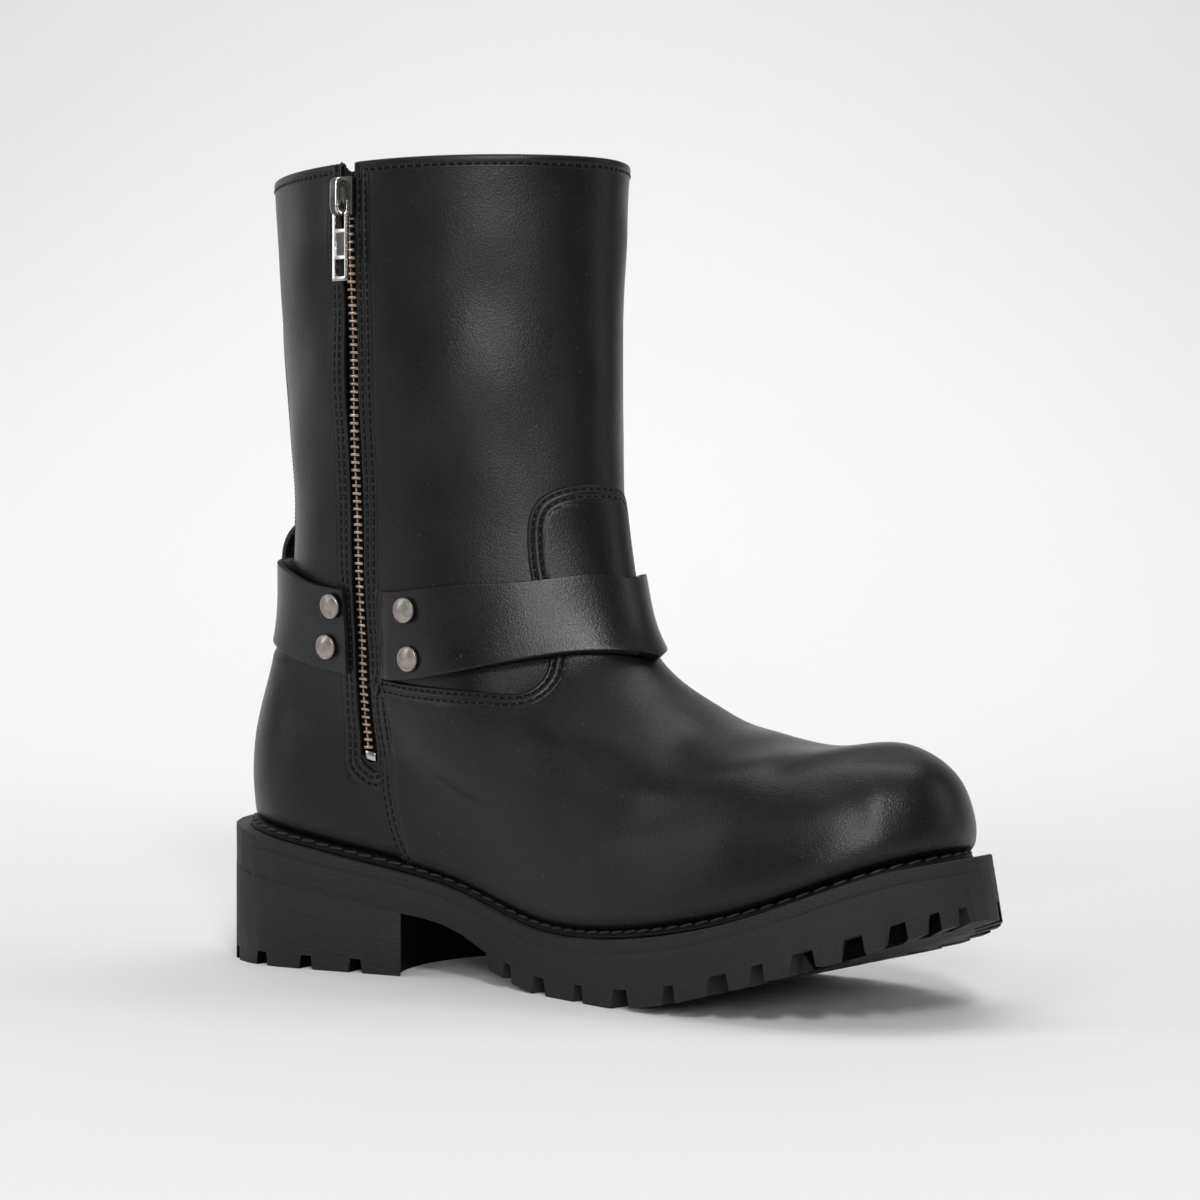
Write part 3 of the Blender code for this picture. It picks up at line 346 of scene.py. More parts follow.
def copy_of(node, name):
    """Copy of a CAD solid with its triangles merged back into quads."""
    obj = bpy.data.objects.new(name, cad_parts[node].data.copy())
    obj.data.name = name
    obj.data.materials.clear()
    bpy.context.scene.collection.objects.link(obj)
    with editing(obj):
        bpy.ops.mesh.remove_doubles(threshold=MERGE)
        bpy.ops.mesh.tris_convert_to_quads(face_threshold=math.radians(70),
                                           shape_threshold=math.radians(150))
    if "sharp_edge" in obj.data.attributes:
        obj.data.attributes.remove(obj.data.attributes["sharp_edge"])
    bpy.ops.object.shade_smooth()
    return obj


def crease_rims(obj, angle, amount):
    """Creases the edges where two faces meet at more than an angle."""
    with opened(obj) as bm:
        layers = bm.edges.layers.float
        layer = layers.get("crease_edge") or layers.new("crease_edge")
        for e in bm.edges:
            if len(e.link_faces) == 2 and e.calc_face_angle(0.0) > angle:
                e[layer] = amount


def solidify(obj, thickness, **settings):
    """Thickens a sheet inwards, by a thickness in mm."""
    finish_modifier(obj, "SOLIDIFY", thickness=thickness * MM, offset=-1, **settings)


def subdivide(obj, levels):
    finish_modifier(obj, "SUBSURF", levels=levels, render_levels=levels)


def bevel(obj, width, segments=2, angle=35):
    finish_modifier(obj, "BEVEL", width=width, segments=segments, limit_method="ANGLE",
                    angle_limit=math.radians(angle), harden_normals=False)


def smooth(obj, angle):
    pick(obj)
    bpy.ops.object.shade_smooth_by_angle(angle=math.radians(angle))


def vertex_values(obj, key):
    v = np.empty(len(obj.data.vertices) * 3)
    obj.data.vertices.foreach_get(key, v)
    return v.reshape(-1, 3)


def coords(obj):
    return vertex_values(obj, "co")


def normals(obj):
    return vertex_values(obj, "normal")


def note(obj, key, values):
    """Keeps one number per vertex as an attribute."""
    layer = obj.data.attributes.new(key, "FLOAT", "POINT")
    layer.data.foreach_set("value", np.ascontiguousarray(values, float))


def move_to(obj, points):
    obj.data.vertices.foreach_set("co", np.ascontiguousarray(points, float).ravel())
    obj.data.update()


def mesh_piece(name, verts, faces):
    mesh = bpy.data.meshes.new(name)
    mesh.from_pydata([tuple(v) for v in verts], [], [list(f) for f in faces])
    mesh.validate()
    obj = bpy.data.objects.new(name, mesh)
    bpy.context.scene.collection.objects.link(obj)
    pick(obj)
    bpy.ops.object.shade_smooth()
    return obj


def swept(name, lines, closed=False):
    """Tube from one line of points per corner of its section, capped unless the lines are closed."""
    lines = np.asarray(lines)
    m, n = lines.shape[:2]
    faces = []
    for i in range(m):
        a, b = i * n, (i + 1) % m * n
        faces += [[a + j, a + (j + 1) % n, b + (j + 1) % n, b + j] for j in range(n if closed else n - 1)]
    if not closed:
        faces += [[i * n for i in range(m)], [i * n + n - 1 for i in range(m)][::-1]]
    piece = mesh_piece(name, lines.reshape(-1, 3), faces)
    face_out(piece)
    return piece


def taken(obj):
    """Points and faces of a helper object, which is removed."""
    shape, faces = coords(obj), [list(p.vertices) for p in obj.data.polygons]
    bpy.data.objects.remove(obj)
    return shape, faces


def strewn(name, shapes, faces, places):
    """Copies of shapes in turn; a place is the middle, the way ahead, to the side and up."""
    verts, rings = [], []
    for k, (p, ahead, side, up) in enumerate(places):
        shape = shapes[k % len(shapes)]
        verts.append(p + shape[:, :1] * ahead + shape[:, 1:2] * side + shape[:, 2:] * up)
        rings += [[k * len(shape) + q for q in f] for f in faces]
    return mesh_piece(name, np.concatenate(verts), rings)


def grid_piece(name, points, rows=None):
    """Sheet from a grid primitive set out on rows of points; section rows are kept as an attribute."""
    points = np.asarray(points)
    m, n = points.shape[:2]
    deselect()
    bpy.ops.mesh.primitive_grid_add(x_subdivisions=n - 1, y_subdivisions=m - 1, size=2, location=(0, 0, 0))
    obj = bpy.context.object
    v = coords(obj)
    j = np.rint((v[:, 0] + 1) / 2 * (n - 1)).astype(int)
    i = np.rint((v[:, 1] + 1) / 2 * (m - 1)).astype(int)
    move_to(obj, points[i, j])
    obj.name = obj.data.name = name
    if rows is not None:
        note(obj, "row", np.asarray(rows)[i, j])
    bpy.ops.object.shade_smooth()
    return obj


def keep_faces(obj, keep):
    """Deletes the faces whose vertices are not all to be kept."""
    with opened(obj) as bm:
        gone = [f for f in bm.faces if not all(keep[v.index] for v in f.verts)]
        bmesh.ops.delete(bm, geom=gone, context="FACES")
        bmesh.ops.delete(bm, geom=[v for v in bm.verts if not v.link_faces], context="VERTS")


def join(obj, *others):
    pick(obj)
    for o in others:
        o.select_set(True)
    bpy.ops.object.join()


def face_out(obj):
    with editing(obj):
        bpy.ops.mesh.remove_doubles(threshold=MERGE / 10)
        bpy.ops.mesh.normals_make_consistent(inside=False)


def point_tree(points):
    """Tree that finds the nearest of some points."""
    tree = KDTree(len(points))
    for k, p in enumerate(points):
        tree.insert(p, k)
    tree.balance()
    return tree


def spans(*parts):
    """Steps over several spans, each with its start, its end and its count."""
    return np.unique(np.concatenate([np.linspace(*p) for p in parts]))


def surface_of(obj):
    return BVHTree.FromPolygons(coords(obj).tolist(), [tuple(p.vertices) for p in obj.data.polygons])


def even_steps(path, pitch, closed=False, start=0.5):
    """Points and directions every pitch along a path, the first one start pitches along."""
    p = np.asarray(path, float)
    if closed:
        p = np.vstack([p, p[:1]])
    seg = np.linalg.norm(np.diff(p, axis=0), axis=1)
    s = np.concatenate([[0], np.cumsum(seg)])
    count = max(1, int(round(s[-1] / pitch)))
    at = (np.arange(count) + start) * s[-1] / count
    spots = np.stack([np.interp(at, s, p[:, i]) for i in range(3)], -1)
    step = s[-1] / count * 0.3
    ends = [np.stack([np.interp(at + d, s, p[:, i]) for i in range(3)], -1) for d in (step, -step)]
    return spots, unit(ends[0] - ends[1])


def smooth_noise(points, size, seed):
    """Soft bumps of about a size, from a few dozen fixed waves; between -1 and 1."""
    rng = np.random.default_rng(seed)
    out = np.zeros(len(points))
    waves = 22
    for _ in range(waves):
        k = rng.normal(size=3)
        k *= (FULL_TURN / size) * rng.uniform(0.5, 1.3) / np.linalg.norm(k)
        out += np.sin(points @ k + rng.uniform(0, FULL_TURN))
    return out / math.sqrt(waves) / 1.4


def near_path(points, path, reach):
    """Distance from points to a polyline, only exact within reach."""
    path = np.asarray(path, float)
    best = np.full(len(points), FAR)
    lo, hi = path.min(0) - reach, path.max(0) + reach
    mine = np.flatnonzero(np.all((points > lo) & (points < hi), axis=1))
    p = points[mine]
    d = np.full(len(p), FAR)
    for a, b in zip(path[:-1], path[1:]):
        ab = b - a
        t = np.clip((p - a) @ ab / max(ab @ ab, 1e-12), 0, 1)
        d = np.minimum(d, np.linalg.norm(p - a - t[:, None] * ab, axis=1))
    best[mine] = d
    return best


# Materials
def shaded(colour, factor):
    return tuple(min(1.0, c * factor) for c in colour[:3])


class Paint:
    """A procedural material; a socket given as a value is linked, and anything else is set."""

    def __init__(self, name):
        self.mat = bpy.data.materials.new(name)
        self.mat.use_nodes = True
        self.tree = self.mat.node_tree
        self.where = self.add("ShaderNodeTexCoord").outputs["Object"]

    def plug(self, value, socket):
        if isinstance(value, bpy.types.NodeSocket):
            self.tree.links.new(value, socket)
        else:
            socket.default_value = value

    def feed(self, node, **values):
        """Sets inputs and settings of a node; an underscore stands for a space in an input's name."""
        for key, value in values.items():
            name = key.replace("_", " ")
            if name in node.inputs:
                self.plug(value, node.inputs[name])
            else:
                setattr(node, key, value)
        return node

    def add(self, kind, **values):
        return self.feed(self.tree.nodes.new(kind), **values)

    def shade(self, **values):
        self.feed(self.tree.nodes["Principled BSDF"], **values)
        return self.mat

    def noise(self, scale, detail=3.0, rough=0.55, where=None):
        return self.add("ShaderNodeTexNoise", Vector=where or self.where, Scale=scale, Detail=detail,
                        Roughness=rough).outputs["Fac"]

    def wave(self, direction):
        return self.add("ShaderNodeTexWave", Vector=self.where, Scale=420.0, Distortion=1.5,
                        bands_direction=direction).outputs["Fac"]

    def ramp(self, value, low, high, dark=0, light=1):
        """Value between low and high mapped to two numbers."""
        return self.add("ShaderNodeMapRange", Value=value, From_Min=low, From_Max=high,
                        To_Min=dark, To_Max=light).outputs["Result"]

    def mix(self, factor, a, b):
        return self.add("ShaderNodeMix", data_type="RGBA", Factor=factor, A=a, B=b).outputs["Result"]

    def tint(self, factor, colour, dark, light):
        """Mix of two shades of a colour."""
        return self.mix(factor, *((*shaded(colour, k), 1) for k in (dark, light)))

    def math(self, operation, *values):
        node = self.add("ShaderNodeMath", operation=operation)
        for value, socket in zip(values, node.inputs):
            self.plug(value, socket)
        return node.outputs[0]

    def total(self, *weighted):
        """Sum of values, each times a weight."""
        out, *rest = (self.math("MULTIPLY", *pair) for pair in weighted)
        for part in rest:
            out = self.math("ADD", out, part)
        return out

    def bump(self, height, strength, distance):
        node = self.add("ShaderNodeBump", Strength=strength, Distance=distance, Height=height)
        self.shade(Normal=node.outputs["Normal"])


def leather(name, colour, rough=(0.27, 0.41), grain=1.0, shine=0.31):
    """Oiled black leather: fine cells and pores, soft uneven oil and a few specks of dust."""
    p = Paint(name)
    cells = p.add("ShaderNodeTexVoronoi", feature="SMOOTH_F1", Vector=p.where, Scale=1500.0, Smoothness=0.6)
    fine, pores, waves = p.noise(4200.0, 2.0), p.noise(1200.0), p.noise(60.0)
    oil, dust = p.noise(26.0, 4.0, 0.6), p.noise(900.0, 1.0)
    height = p.total((cells.outputs["Distance"], 0.35 * grain), (fine, 0.3 * grain), (pores, 0.75 * grain),
                     (waves, 0.9))
    p.bump(height, 0.55, 0.00021)
    base = p.tint(p.ramp(oil, 0.32, 0.68), colour, 0.75, 1.28)
    return p.shade(Base_Color=p.mix(p.ramp(dust, 0.70, 0.80, 0, 0.5), base, (0.06, 0.058, 0.055, 1)),
                   Roughness=p.ramp(p.total((oil, 0.7), (pores, 0.3)), 0.34, 0.66, *rough),
                   Specular_IOR_Level=shine)


# Section row, colour and shine of the bands of painted shade in which the leather grows darker and duller
# towards the welt
FOOT_SHADE_BANDS = ((1.1, 0.93, 0.30), (0.98, 0.86, 0.26), (0.87, 0.78, 0.22), (0.77, 0.69, 0.18),
              (0.67, 0.6, 0.14), (0.58, 0.5, 0.11), (0.49, 0.42, 0.08), (0.4, 0.34, 0.05),
              (0.31, 0.26, 0.02))


def paint_foot_shade(obj):
    """Paints shade on the leather by the welt: darker, duller bands where shade falls in the crevice."""
    first = len(obj.data.materials)
    wear(obj, *("foot_%d" % k for k in range(len(FOOT_SHADE_BANDS))))
    row = np.empty(len(obj.data.vertices))
    obj.data.attributes["row"].data.foreach_get("value", row)
    for f in obj.data.polygons:
        low = sum(row[v] for v in f.vertices) / len(f.vertices)
        bands = sum(low < height for height, _, _ in FOOT_SHADE_BANDS)
        if bands and f.material_index == 0:
            f.material_index = first + bands - 1


def lining(name, colour):
    """Napped cloth with paler patches."""
    p = Paint(name)
    nap, patch = p.noise(1500.0), p.noise(60.0)
    p.bump(p.total((nap, 1.0), (patch, 1.2)), 0.5, 0.0003)
    return p.shade(Base_Color=p.tint(p.ramp(patch, 0.3, 0.7), colour, 0.75, 1.25), Roughness=0.85,
                   Specular_IOR_Level=0.25)


def thread(name, colour, shine=0.1):
    """Twisted waxed thread."""
    p = Paint(name)
    twist = p.noise(3200.0, 2.0)
    p.bump(twist, 0.5, 0.0001)
    return p.shade(Base_Color=p.tint(p.ramp(twist, 0.3, 0.7), colour, 0.7, 1.35), Roughness=0.6,
                   Specular_IOR_Level=shine)


def rubber(name, colour, shine):
    """Ground rubber: fine lines along the edge of the sole, specks and dust, and a painted highlight along
    its top edge.
    """
    p = Paint(name)
    drop = p.add("ShaderNodeAttribute", attribute_name="edge_drop").outputs["Fac"]
    split = p.add("ShaderNodeSeparateXYZ", Vector=p.where)
    x, y = (p.math("MULTIPLY", split.outputs[axis], 0.012) for axis in "XY")
    along = p.add("ShaderNodeCombineXYZ", X=x, Y=y, Z=drop).outputs[0]
    grind, broad = p.noise(900.0, 4.0, 0.7, along), p.noise(240.0, 2.0, 0.5, along)
    specks, dust = p.noise(1400.0), p.noise(45.0, 5.0, 0.65)
    p.bump(p.total((grind, 1.5), (broad, 1.1), (specks, 1.6)), 0.75, 0.0004)
    value = p.total((dust, 0.45), (grind, 0.3), (specks, 0.25))
    side = p.tint(p.ramp(value, 0.34, 0.66), colour, 0.5, 1.6)
    # painted highlight: the rubber is painted much lighter in a thin line along the sole's top edge
    rim = p.mix(p.ramp(drop, 0.0002, 0.0009, 0.8, 0), side, (*shaded(colour, 3.2), 1))
    return p.shade(Base_Color=rim, Roughness=p.ramp(dust, 0.3, 0.7, 0.5, 0.75), Specular_IOR_Level=shine)


def woven(name, colour):
    """Woven tape."""
    p = Paint(name)
    fuzz = p.noise(1800.0)
    p.bump(p.total((p.wave("Z"), 0.6), (p.wave("X"), 0.6), (fuzz, 0.6)), 0.8, 0.0004)
    return p.shade(Base_Color=p.tint(fuzz, colour, 0.5, 1.6), Roughness=0.9, Specular_IOR_Level=0.2)


def metal(name, colour, stain, rough, blotch, worn=0.5):
    """Plated metal with tarnish in blotches."""
    p = Paint(name)
    spots, fine = p.noise(blotch, 5.0, 0.65), p.noise(blotch * 9)
    value = p.total((spots, 0.75), (fine, 0.25))
    tarnish = p.ramp(value, 0.5 - worn * 0.3, 0.5 + worn * 0.3)
    p.bump(p.total((fine, 1.0), (spots, 1.0)), 0.12, 0.0001)
    return p.shade(Base_Color=p.mix(tarnish, (*stain, 1), (*colour, 1)),
                   Roughness=p.ramp(value, 0.35, 0.65, rough[1], rough[0]), Metallic=1.0)


def wear(obj, *names):
    for name in names:
        obj.data.materials.append(MATS[name])


def seat(obj, slot, *nodes, body=BOOT):
    """Rides a finished piece on its body and hides the solids that it stands for."""
    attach(obj, body)
    if nodes:
        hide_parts(*nodes)


# Settings a user would change
def colour_of(name, about, value):
    return FloatVectorProperty(name=name, description=about, subtype="COLOR", size=3, min=0, max=1,
                               default=value)


def length_of(name, about, value, low):
    return FloatProperty(name=name, description=about, subtype="DISTANCE", unit="LENGTH", min=low,
                         default=value)


class BootLeather(PropertyGroup):
    colour: colour_of("Leather", "Colour of the oiled leather", (0.0062, 0.0060, 0.0058))
    inside: colour_of("Lining", "Colour of the inside of the shaft", (0.030, 0.027, 0.024))


class BootThread(PropertyGroup):
    colour: colour_of("Thread", "Colour of the thread", (0.0030, 0.0029, 0.0029))
    pitch: length_of("Stitch pitch", "Distance from stitch to stitch", 0.0030, 0.001)
    welt_pitch: length_of("Welt pitch", "Distance from stitch to stitch on the welt", 0.0063, 0.002)


class BootZip(PropertyGroup):
    pitch: length_of("Tooth pitch", "Distance between teeth on one side", 0.0028, 0.001)
    teeth: colour_of("Teeth", "Colour of the zip teeth", (0.56, 0.44, 0.36))
    plate: colour_of("Plated metal", "Colour of slider and pull", (0.74, 0.73, 0.71))


class BootSole(PropertyGroup):
    colour: colour_of("Rubber", "Colour of the sole", (0.0135, 0.0133, 0.0131))


class BootStage(PropertyGroup):
    floor: colour_of("Floor", "Colour of the floor and backdrop", (0.80, 0.79, 0.79))
    key: FloatProperty(name="Key light", description="Power of the main soft light in watts", min=0,
                       default=12.0)


class BootSettings(PropertyGroup):
    leather: PointerProperty(type=BootLeather)
    thread: PointerProperty(type=BootThread)
    zip: PointerProperty(type=BootZip)
    sole: PointerProperty(type=BootSole)
    stage: PointerProperty(type=BootStage)


# Rows of thread, filled by the pieces that are sewn: points and the way up at each
SEWN = []


def sew(line, off):
    """Notes a row of stitches along (row, turn) points, off mm above the leather's first layer."""
    row, turn = np.asarray(line).T
    low, high = hide(row, turn, off), hide(row, turn, off + 1.0)
    SEWN.append((low, (high - low) / MM))


def thread_dip(d, rows=EDGE_ROWS):
    """Depth in mm of the troughs that rows of stitches pull into an edge at distance d."""
    return sum(STITCH_DEPTH * np.exp(-((d - r) / STITCH_WIDTH) ** 2) for r in rows)


def edge_band(name, line, profile):
    """Sheet along an edge, from a profile of (distance inside the edge, height) in mm."""
    lines = beside(line, [d for d, _ in profile])
    points = [hide(q[:, 0], q[:, 1], off) for q, (_, off) in zip(lines, profile)]
    # the grid's columns run along the edge, so its rows go from the inside out
    return grid_piece(name, points[::-1], lines[::-1, :, 0])


class HARNESS_OT_upper(Operator):
    """Leather of the shaft and heel with its lining, rolled collar and back seam"""
    bl_idname = "harness.upper"
    bl_label = "Upper"

    def execute(self, context):
        shaft = self.shaft()
        wear(shaft, "leather", "lining")
        # painted shade on the leather by the welt
        paint_foot_shade(shaft)
        seat(shaft, "leather", "upper")
        rim = self.collar_rim()
        wear(rim, "leather")
        seat(rim, "leather")

        turns = self.collar_turns(260)
        sew(np.column_stack([np.full_like(turns, TOP_ROW - COLLAR_ROW / COLLAR_STEP), turns]), -0.02)
        # Two rows down the middle of the back
        rows = np.linspace(15.85, 11.6, 90)
        for side in (-1.9, 1.9):
            half = last(rows, np.full_like(rows, 0.05))[:, 1]
            sew(np.column_stack([rows, -0.05 * side / half]), -0.05)
        # Edge of the back stay, seen on the outline of the boot in the photograph
        rows = np.linspace(15.6, 11.4, 90)
        sew(np.column_stack([rows, BACK_STAY - 0.3 * ease(13.6, 15.6, rows)]), 0.0)
        return {"FINISHED"}

    def shaft(self):
        """Sheet round the last from one edge of the zip slit to the other, thickened inwards."""
        rows = spans((0, 1.2, 20), (1.2, 3.7, 18), (3.7, 4.9, 24), (4.9, 15.2, 80), (15.2, TOP_ROW, 14))
        u = np.clip((rows - ZIP_END_ROW) / 0.42, 0, 1)
        half = ZIP_HALF_GAP * np.sqrt(1 - (1 - u) ** 2)
        near = np.linspace(0, 12.0, 17)
        ahead = half * front_gap(rows) / ZIP_HALF_GAP
        front = np.stack([turn_at(rows, zip_x(rows) + ahead + d) for d in near], -1)
        back = np.stack([turn_at(rows, zip_x(rows) - half - d) for d in near[::-1]], -1) + FULL_TURN
        w = np.linspace(0, 1, 210)[1:-1]
        middle = front[:, -1:] + (back[:, :1] - front[:, -1:]) * w
        turns = np.concatenate([front, middle, back], 1)
        grid = np.repeat(rows[:, None], turns.shape[1], 1)
        seam = 0.25 * np.exp(-((turns - FULL_TURN) / 0.02) ** 2) * (grid > 11.4)
        # under the zip facing the shaft lies lower
        away = np.concatenate([near, np.full(middle.shape[1], FAR), near[::-1]])
        away = away + half[:, None] - ZIP_HALF_GAP
        under = 0.75 * (1 - ease(5.4, 6.5, away)) * ease(3.1, 3.4, grid)
        shaft = grid_piece("shaft", hide(grid, turns, -seam - under), grid)
        with editing(shaft):
            bpy.ops.mesh.remove_doubles(threshold=MERGE)
        solidify(shaft, WALL, material_offset=1)
        return shaft

    def collar_turns(self, count):
        x = zip_x(TOP_ROW)
        reach = ZIP_HALF_GAP + 0.2
        start = float(turn_at(TOP_ROW, x + reach))
        stop = float(turn_at(TOP_ROW, x - reach)) + FULL_TURN
        return np.linspace(start, stop, count)

    def collar_rim(self):
        """Rolled edge of the collar, from its outer trough over the top to the lining."""
        # distance outside the leather and height above the top, in mm
        profile = ((-0.9, -5.2), (-0.25, -4.6), (0.04, -4.0), (0.06, -3.6), (-0.12, -3.1), (-0.16, -2.9),
                   (-0.06, -2.6), (0.12, -2.1), (0.20, -1.5), (0.16, -0.8), (0.02, -0.2), (-0.30, 0.25),
                   (-0.9, 0.45), (-1.6, 0.4), (-2.1, 0.0), (-2.4, -0.8), (-2.4, -2.0), (-2.3, -3.2),
                   (-1.6, -4.6))
        turns = self.collar_turns(300)
        base = last(np.full_like(turns, TOP_ROW), turns)
        rows = []
        for off, rise in profile:
            row = np.full_like(turns, TOP_ROW + min(0.0, rise) / COLLAR_STEP)
            p = hide(row, turns, off)
            if rise > 0:
                p[:, 2] = (base[:, 2] + rise) * MM
            rows.append(p)
        return swept("collar_rim", rows)


class HARNESS_OT_vamp(Operator):
    """Vamp with its tongue, rounded edge and double seam"""
    bl_idname = "harness.vamp"
    bl_label = "Vamp"

    # distance inside the edge and height, in mm, of the rounded edge and the band of stitches
    PROFILE = ((-0.15, -1.6), (-0.25, -0.3), (-0.22, 0.25), (-0.08, 0.65), (0.15, 0.98), (0.45, 1.20),
               (0.8, 1.32), (1.1, 1.38), (1.3, 1.41), (1.5, 1.44), (1.7, 1.47), (1.95, 1.51), (2.3, 1.57),
               (2.8, 1.64), (3.4, 1.72), (3.8, 1.77), (4.0, 1.80), (4.2, 1.82), (4.4, 1.84), (4.65, 1.86),
               (5.1, 1.90), (5.7, 1.94), (6.4, 1.94))

    def execute(self, context):
        line = self.outline()
        profile = [(d, off - float(thread_dip(d)) * (d > 0.5)) for d, off in self.PROFILE]
        band = edge_band("vamp_band", line, profile)
        solidify(band, EDGE_WALL)
        cover = self.cover(line)
        solidify(cover, 0.9)
        join(cover, band)
        wear(cover, "leather")
        # painted shade on the leather by the welt
        paint_foot_shade(cover)
        seat(cover, "leather", "vamp")
        for d, row in zip(EDGE_ROWS, beside(line, EDGE_ROWS)):
            sew(row, float(np.interp(d, *zip(*profile))) - 0.04)
        return {"FINISHED"}

    def outline(self):
        """Edge of the vamp as (row, turn): up the inner side, round the tongue and down the outer side."""
        rows = np.linspace(0, VAMP_SIDE_TOP, 60)
        side = np.column_stack([rows, turn_at(rows, spline(*VAMP_SIDE.T, rows))])
        far = side[::-1] * (1, -1) + (0, FULL_TURN)
        return smooth_line(np.vstack([side[:-2], VAMP_SEAM, far[2:]]), EDGE_PITCH)

    def cover(self, line):
        """Sheet inside the band of stitches, sinking under it at its edge."""
        rows = spans((0, 1.2, 20), (1.2, 9.5, 78), (9.5, 12.3, 46))
        start = turn_at(rows, spline(*VAMP_SIDE.T, np.minimum(rows, VAMP_SIDE_TOP)) + 1.0)[:, None]
        turns = start + (FULL_TURN - 2 * start) * np.linspace(0, 1, 190)
        grid = np.repeat(rows[:, None], turns.shape[1], 1)
        base = self.eased(rows, turns, last(grid, turns))
        edge = point_tree(last(*line.T))
        d = np.array([edge.find(p)[2] for p in base.reshape(-1, 3)])
        d *= np.where(self.inside(np.column_stack([grid.ravel(), turns.ravel()]), line), 1, -1)
        sink = 0.9 * (1 - ease(3.9, 5.6, d.reshape(grid.shape)))
        off = VAMP_HEIGHT - sink + relief(grid, turns)
        up = unit(np.cross(np.gradient(base, axis=1), np.gradient(base, axis=0)))
        points = (base + up * off[..., None] - SHIFT) * MM
        cover = grid_piece("vamp_cover", points, grid)
        spots = point_tree(points.reshape(-1, 3))
        keep_faces(cover, d[[spots.find(p)[1] for p in coords(cover)]] > BAND_OVERLAP)
        return cover

    def eased(self, rows, turns, base):
        """Sections run close together at the waist, so there they are averaged over their neighbours."""
        weight = np.exp(-0.5 * ((rows[:, None] - rows[None]) / 0.75) ** 2)
        weight /= weight.sum(1, keepdims=True)
        calm = np.einsum("ij,jkc->ikc", weight, base)
        side = np.minimum(turns, FULL_TURN - turns)
        by_row = ease(3.0, 4.4, rows) * (1 - ease(6.8, 8.4, rows))
        where = by_row[:, None] * ease(1.15, 1.4, side) * (1 - ease(2.25, 2.8, side))
        return base + (calm - base) * where[..., None]

    def inside(self, points, line):
        """Which (row, turn) points lie inside the vamp's edge."""
        ring = np.vstack([line, [(-1.0, line[-1, 1]), (-1.0, line[0, 1])]])
        out = np.zeros(len(points), bool)
        for (r0, t0), (r1, t1) in zip(ring, np.roll(ring, -1, 0)):
            if r0 != r1:
                cross = (r0 > points[:, 0]) != (r1 > points[:, 0])
                at = t0 + (points[:, 0] - r0) * (t1 - t0) / (r1 - r0)
                out ^= cross & (points[:, 1] < at)
        return out


# Height in mm of the strap where it runs under the zip facing
STRAP_END = 1.0
# Length in mm of the strap's rear end that lies over the facing
REAR_OVERLAP = 3.0
# Greatest y of the strap's ends, and x of the zip between them, in mm
INNER_SIDE = -25
ZIP_MIDDLE = 84


def zip_chart():
    """Points of the last beside the zip, with their row, distance from the zip line and way out."""
    rows, far = np.meshgrid(np.linspace(8.4, 12.2, 60), np.linspace(-26, 26, 60), indexing="ij")
    rows, far = rows.ravel(), far.ravel()
    turns = turn_at(rows, zip_x(rows) + far)
    return last(rows, turns), rows, far, slopes(rows, turns)[2]


def strap_rows():
    """Lowest and highest section row of the strap's front end."""
    p, rows, far, _ = zip_chart()
    v = coords(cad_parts["harness_strap"]) / MM + SHIFT
    near = np.array([np.argmin(np.sum((p - q) ** 2, 1)) for q in v if q[1] < INNER_SIDE])
    mine = near[(far[near] > 8) & (far[near] < 14)]
    return rows[mine].min(), rows[mine].max()


class HARNESS_OT_strap(Operator):
    """Harness strap with its raw edges, and the loop that keeps it at the back"""
    bl_idname = "harness.strap"
    bl_label = "Strap"

    def execute(self, context):
        strap = copy_of("harness_strap", "strap")
        wear(strap, "strap", "raw_edge")
        for face in strap.data.polygons:
            if abs(face.normal.z) > 0.75 or abs(face.normal.x) > 0.9 and face.center.y < -0.03:
                face.material_index = 1
        self.round_edges(strap, 0.45, 0.5)
        v, n = coords(strap), normals(strap)
        swell = smooth_noise(v, 0.05, 21) * 0.00030
        dent = np.zeros(len(v))
        for name in RIVETS:
            centre, _ = rivet_place(name)
            dent += 0.0004 * np.exp(-(np.linalg.norm(v - centre, axis=1) / 0.0065) ** 2)
        v = v + n * (swell - dent)[:, None]
        move_to(strap, self.press_ends(v))
        seat(strap, "leather", "harness_strap")

        loop = copy_of("strap_keeper", "strap_loop")
        self.round_edges(loop, 0.5, 0.4)
        wear(loop, "strap")
        seat(loop, "leather", "strap_keeper")
        return {"FINISHED"}

    def round_edges(self, piece, width, crease):
        bevel(piece, width * MM, 2, 50)
        crease_rims(piece, math.radians(28), crease)
        subdivide(piece, 2)

    def press_ends(self, v):
        """Presses the strap's ends down, where they go under the facing."""
        p, _, far, up = zip_chart()
        mm = v / MM + SHIFT
        for k in np.flatnonzero((mm[:, 1] < INNER_SIDE) & (np.abs(mm[:, 0] - ZIP_MIDDLE) < 30)):
            i = int(np.argmin(np.sum((p - mm[k]) ** 2, 1)))
            height = (mm[k] - p[i]) @ up[i]
            near = 1 - ease(9.0, 17.0, abs(far[i]))
            if far[i] > 0:
                mm[k] -= up[i] * height * 0.74 * near
            else:
                mm[k, 0] += REAR_OVERLAP * near
        return (mm - SHIFT) * MM


RIVETS = ("rivet_front_top", "rivet_front_low", "rivet_rear_top", "rivet_rear_low")
RIVET_RADIUS = 4.5


def rivet_place(name):
    """Middle of a rivet's seat and the way it faces."""
    v = coords(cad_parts[name])
    centre = v.mean(0)
    _, _, axes = np.linalg.svd(v - centre)
    axis = axes[2] if axes[2][1] < 0 else -axes[2]
    base = centre + axis * ((v - centre) @ axis).min()
    ring = v[((v - base) @ axis) < 1e-4]
    return ring.mean(0), axis


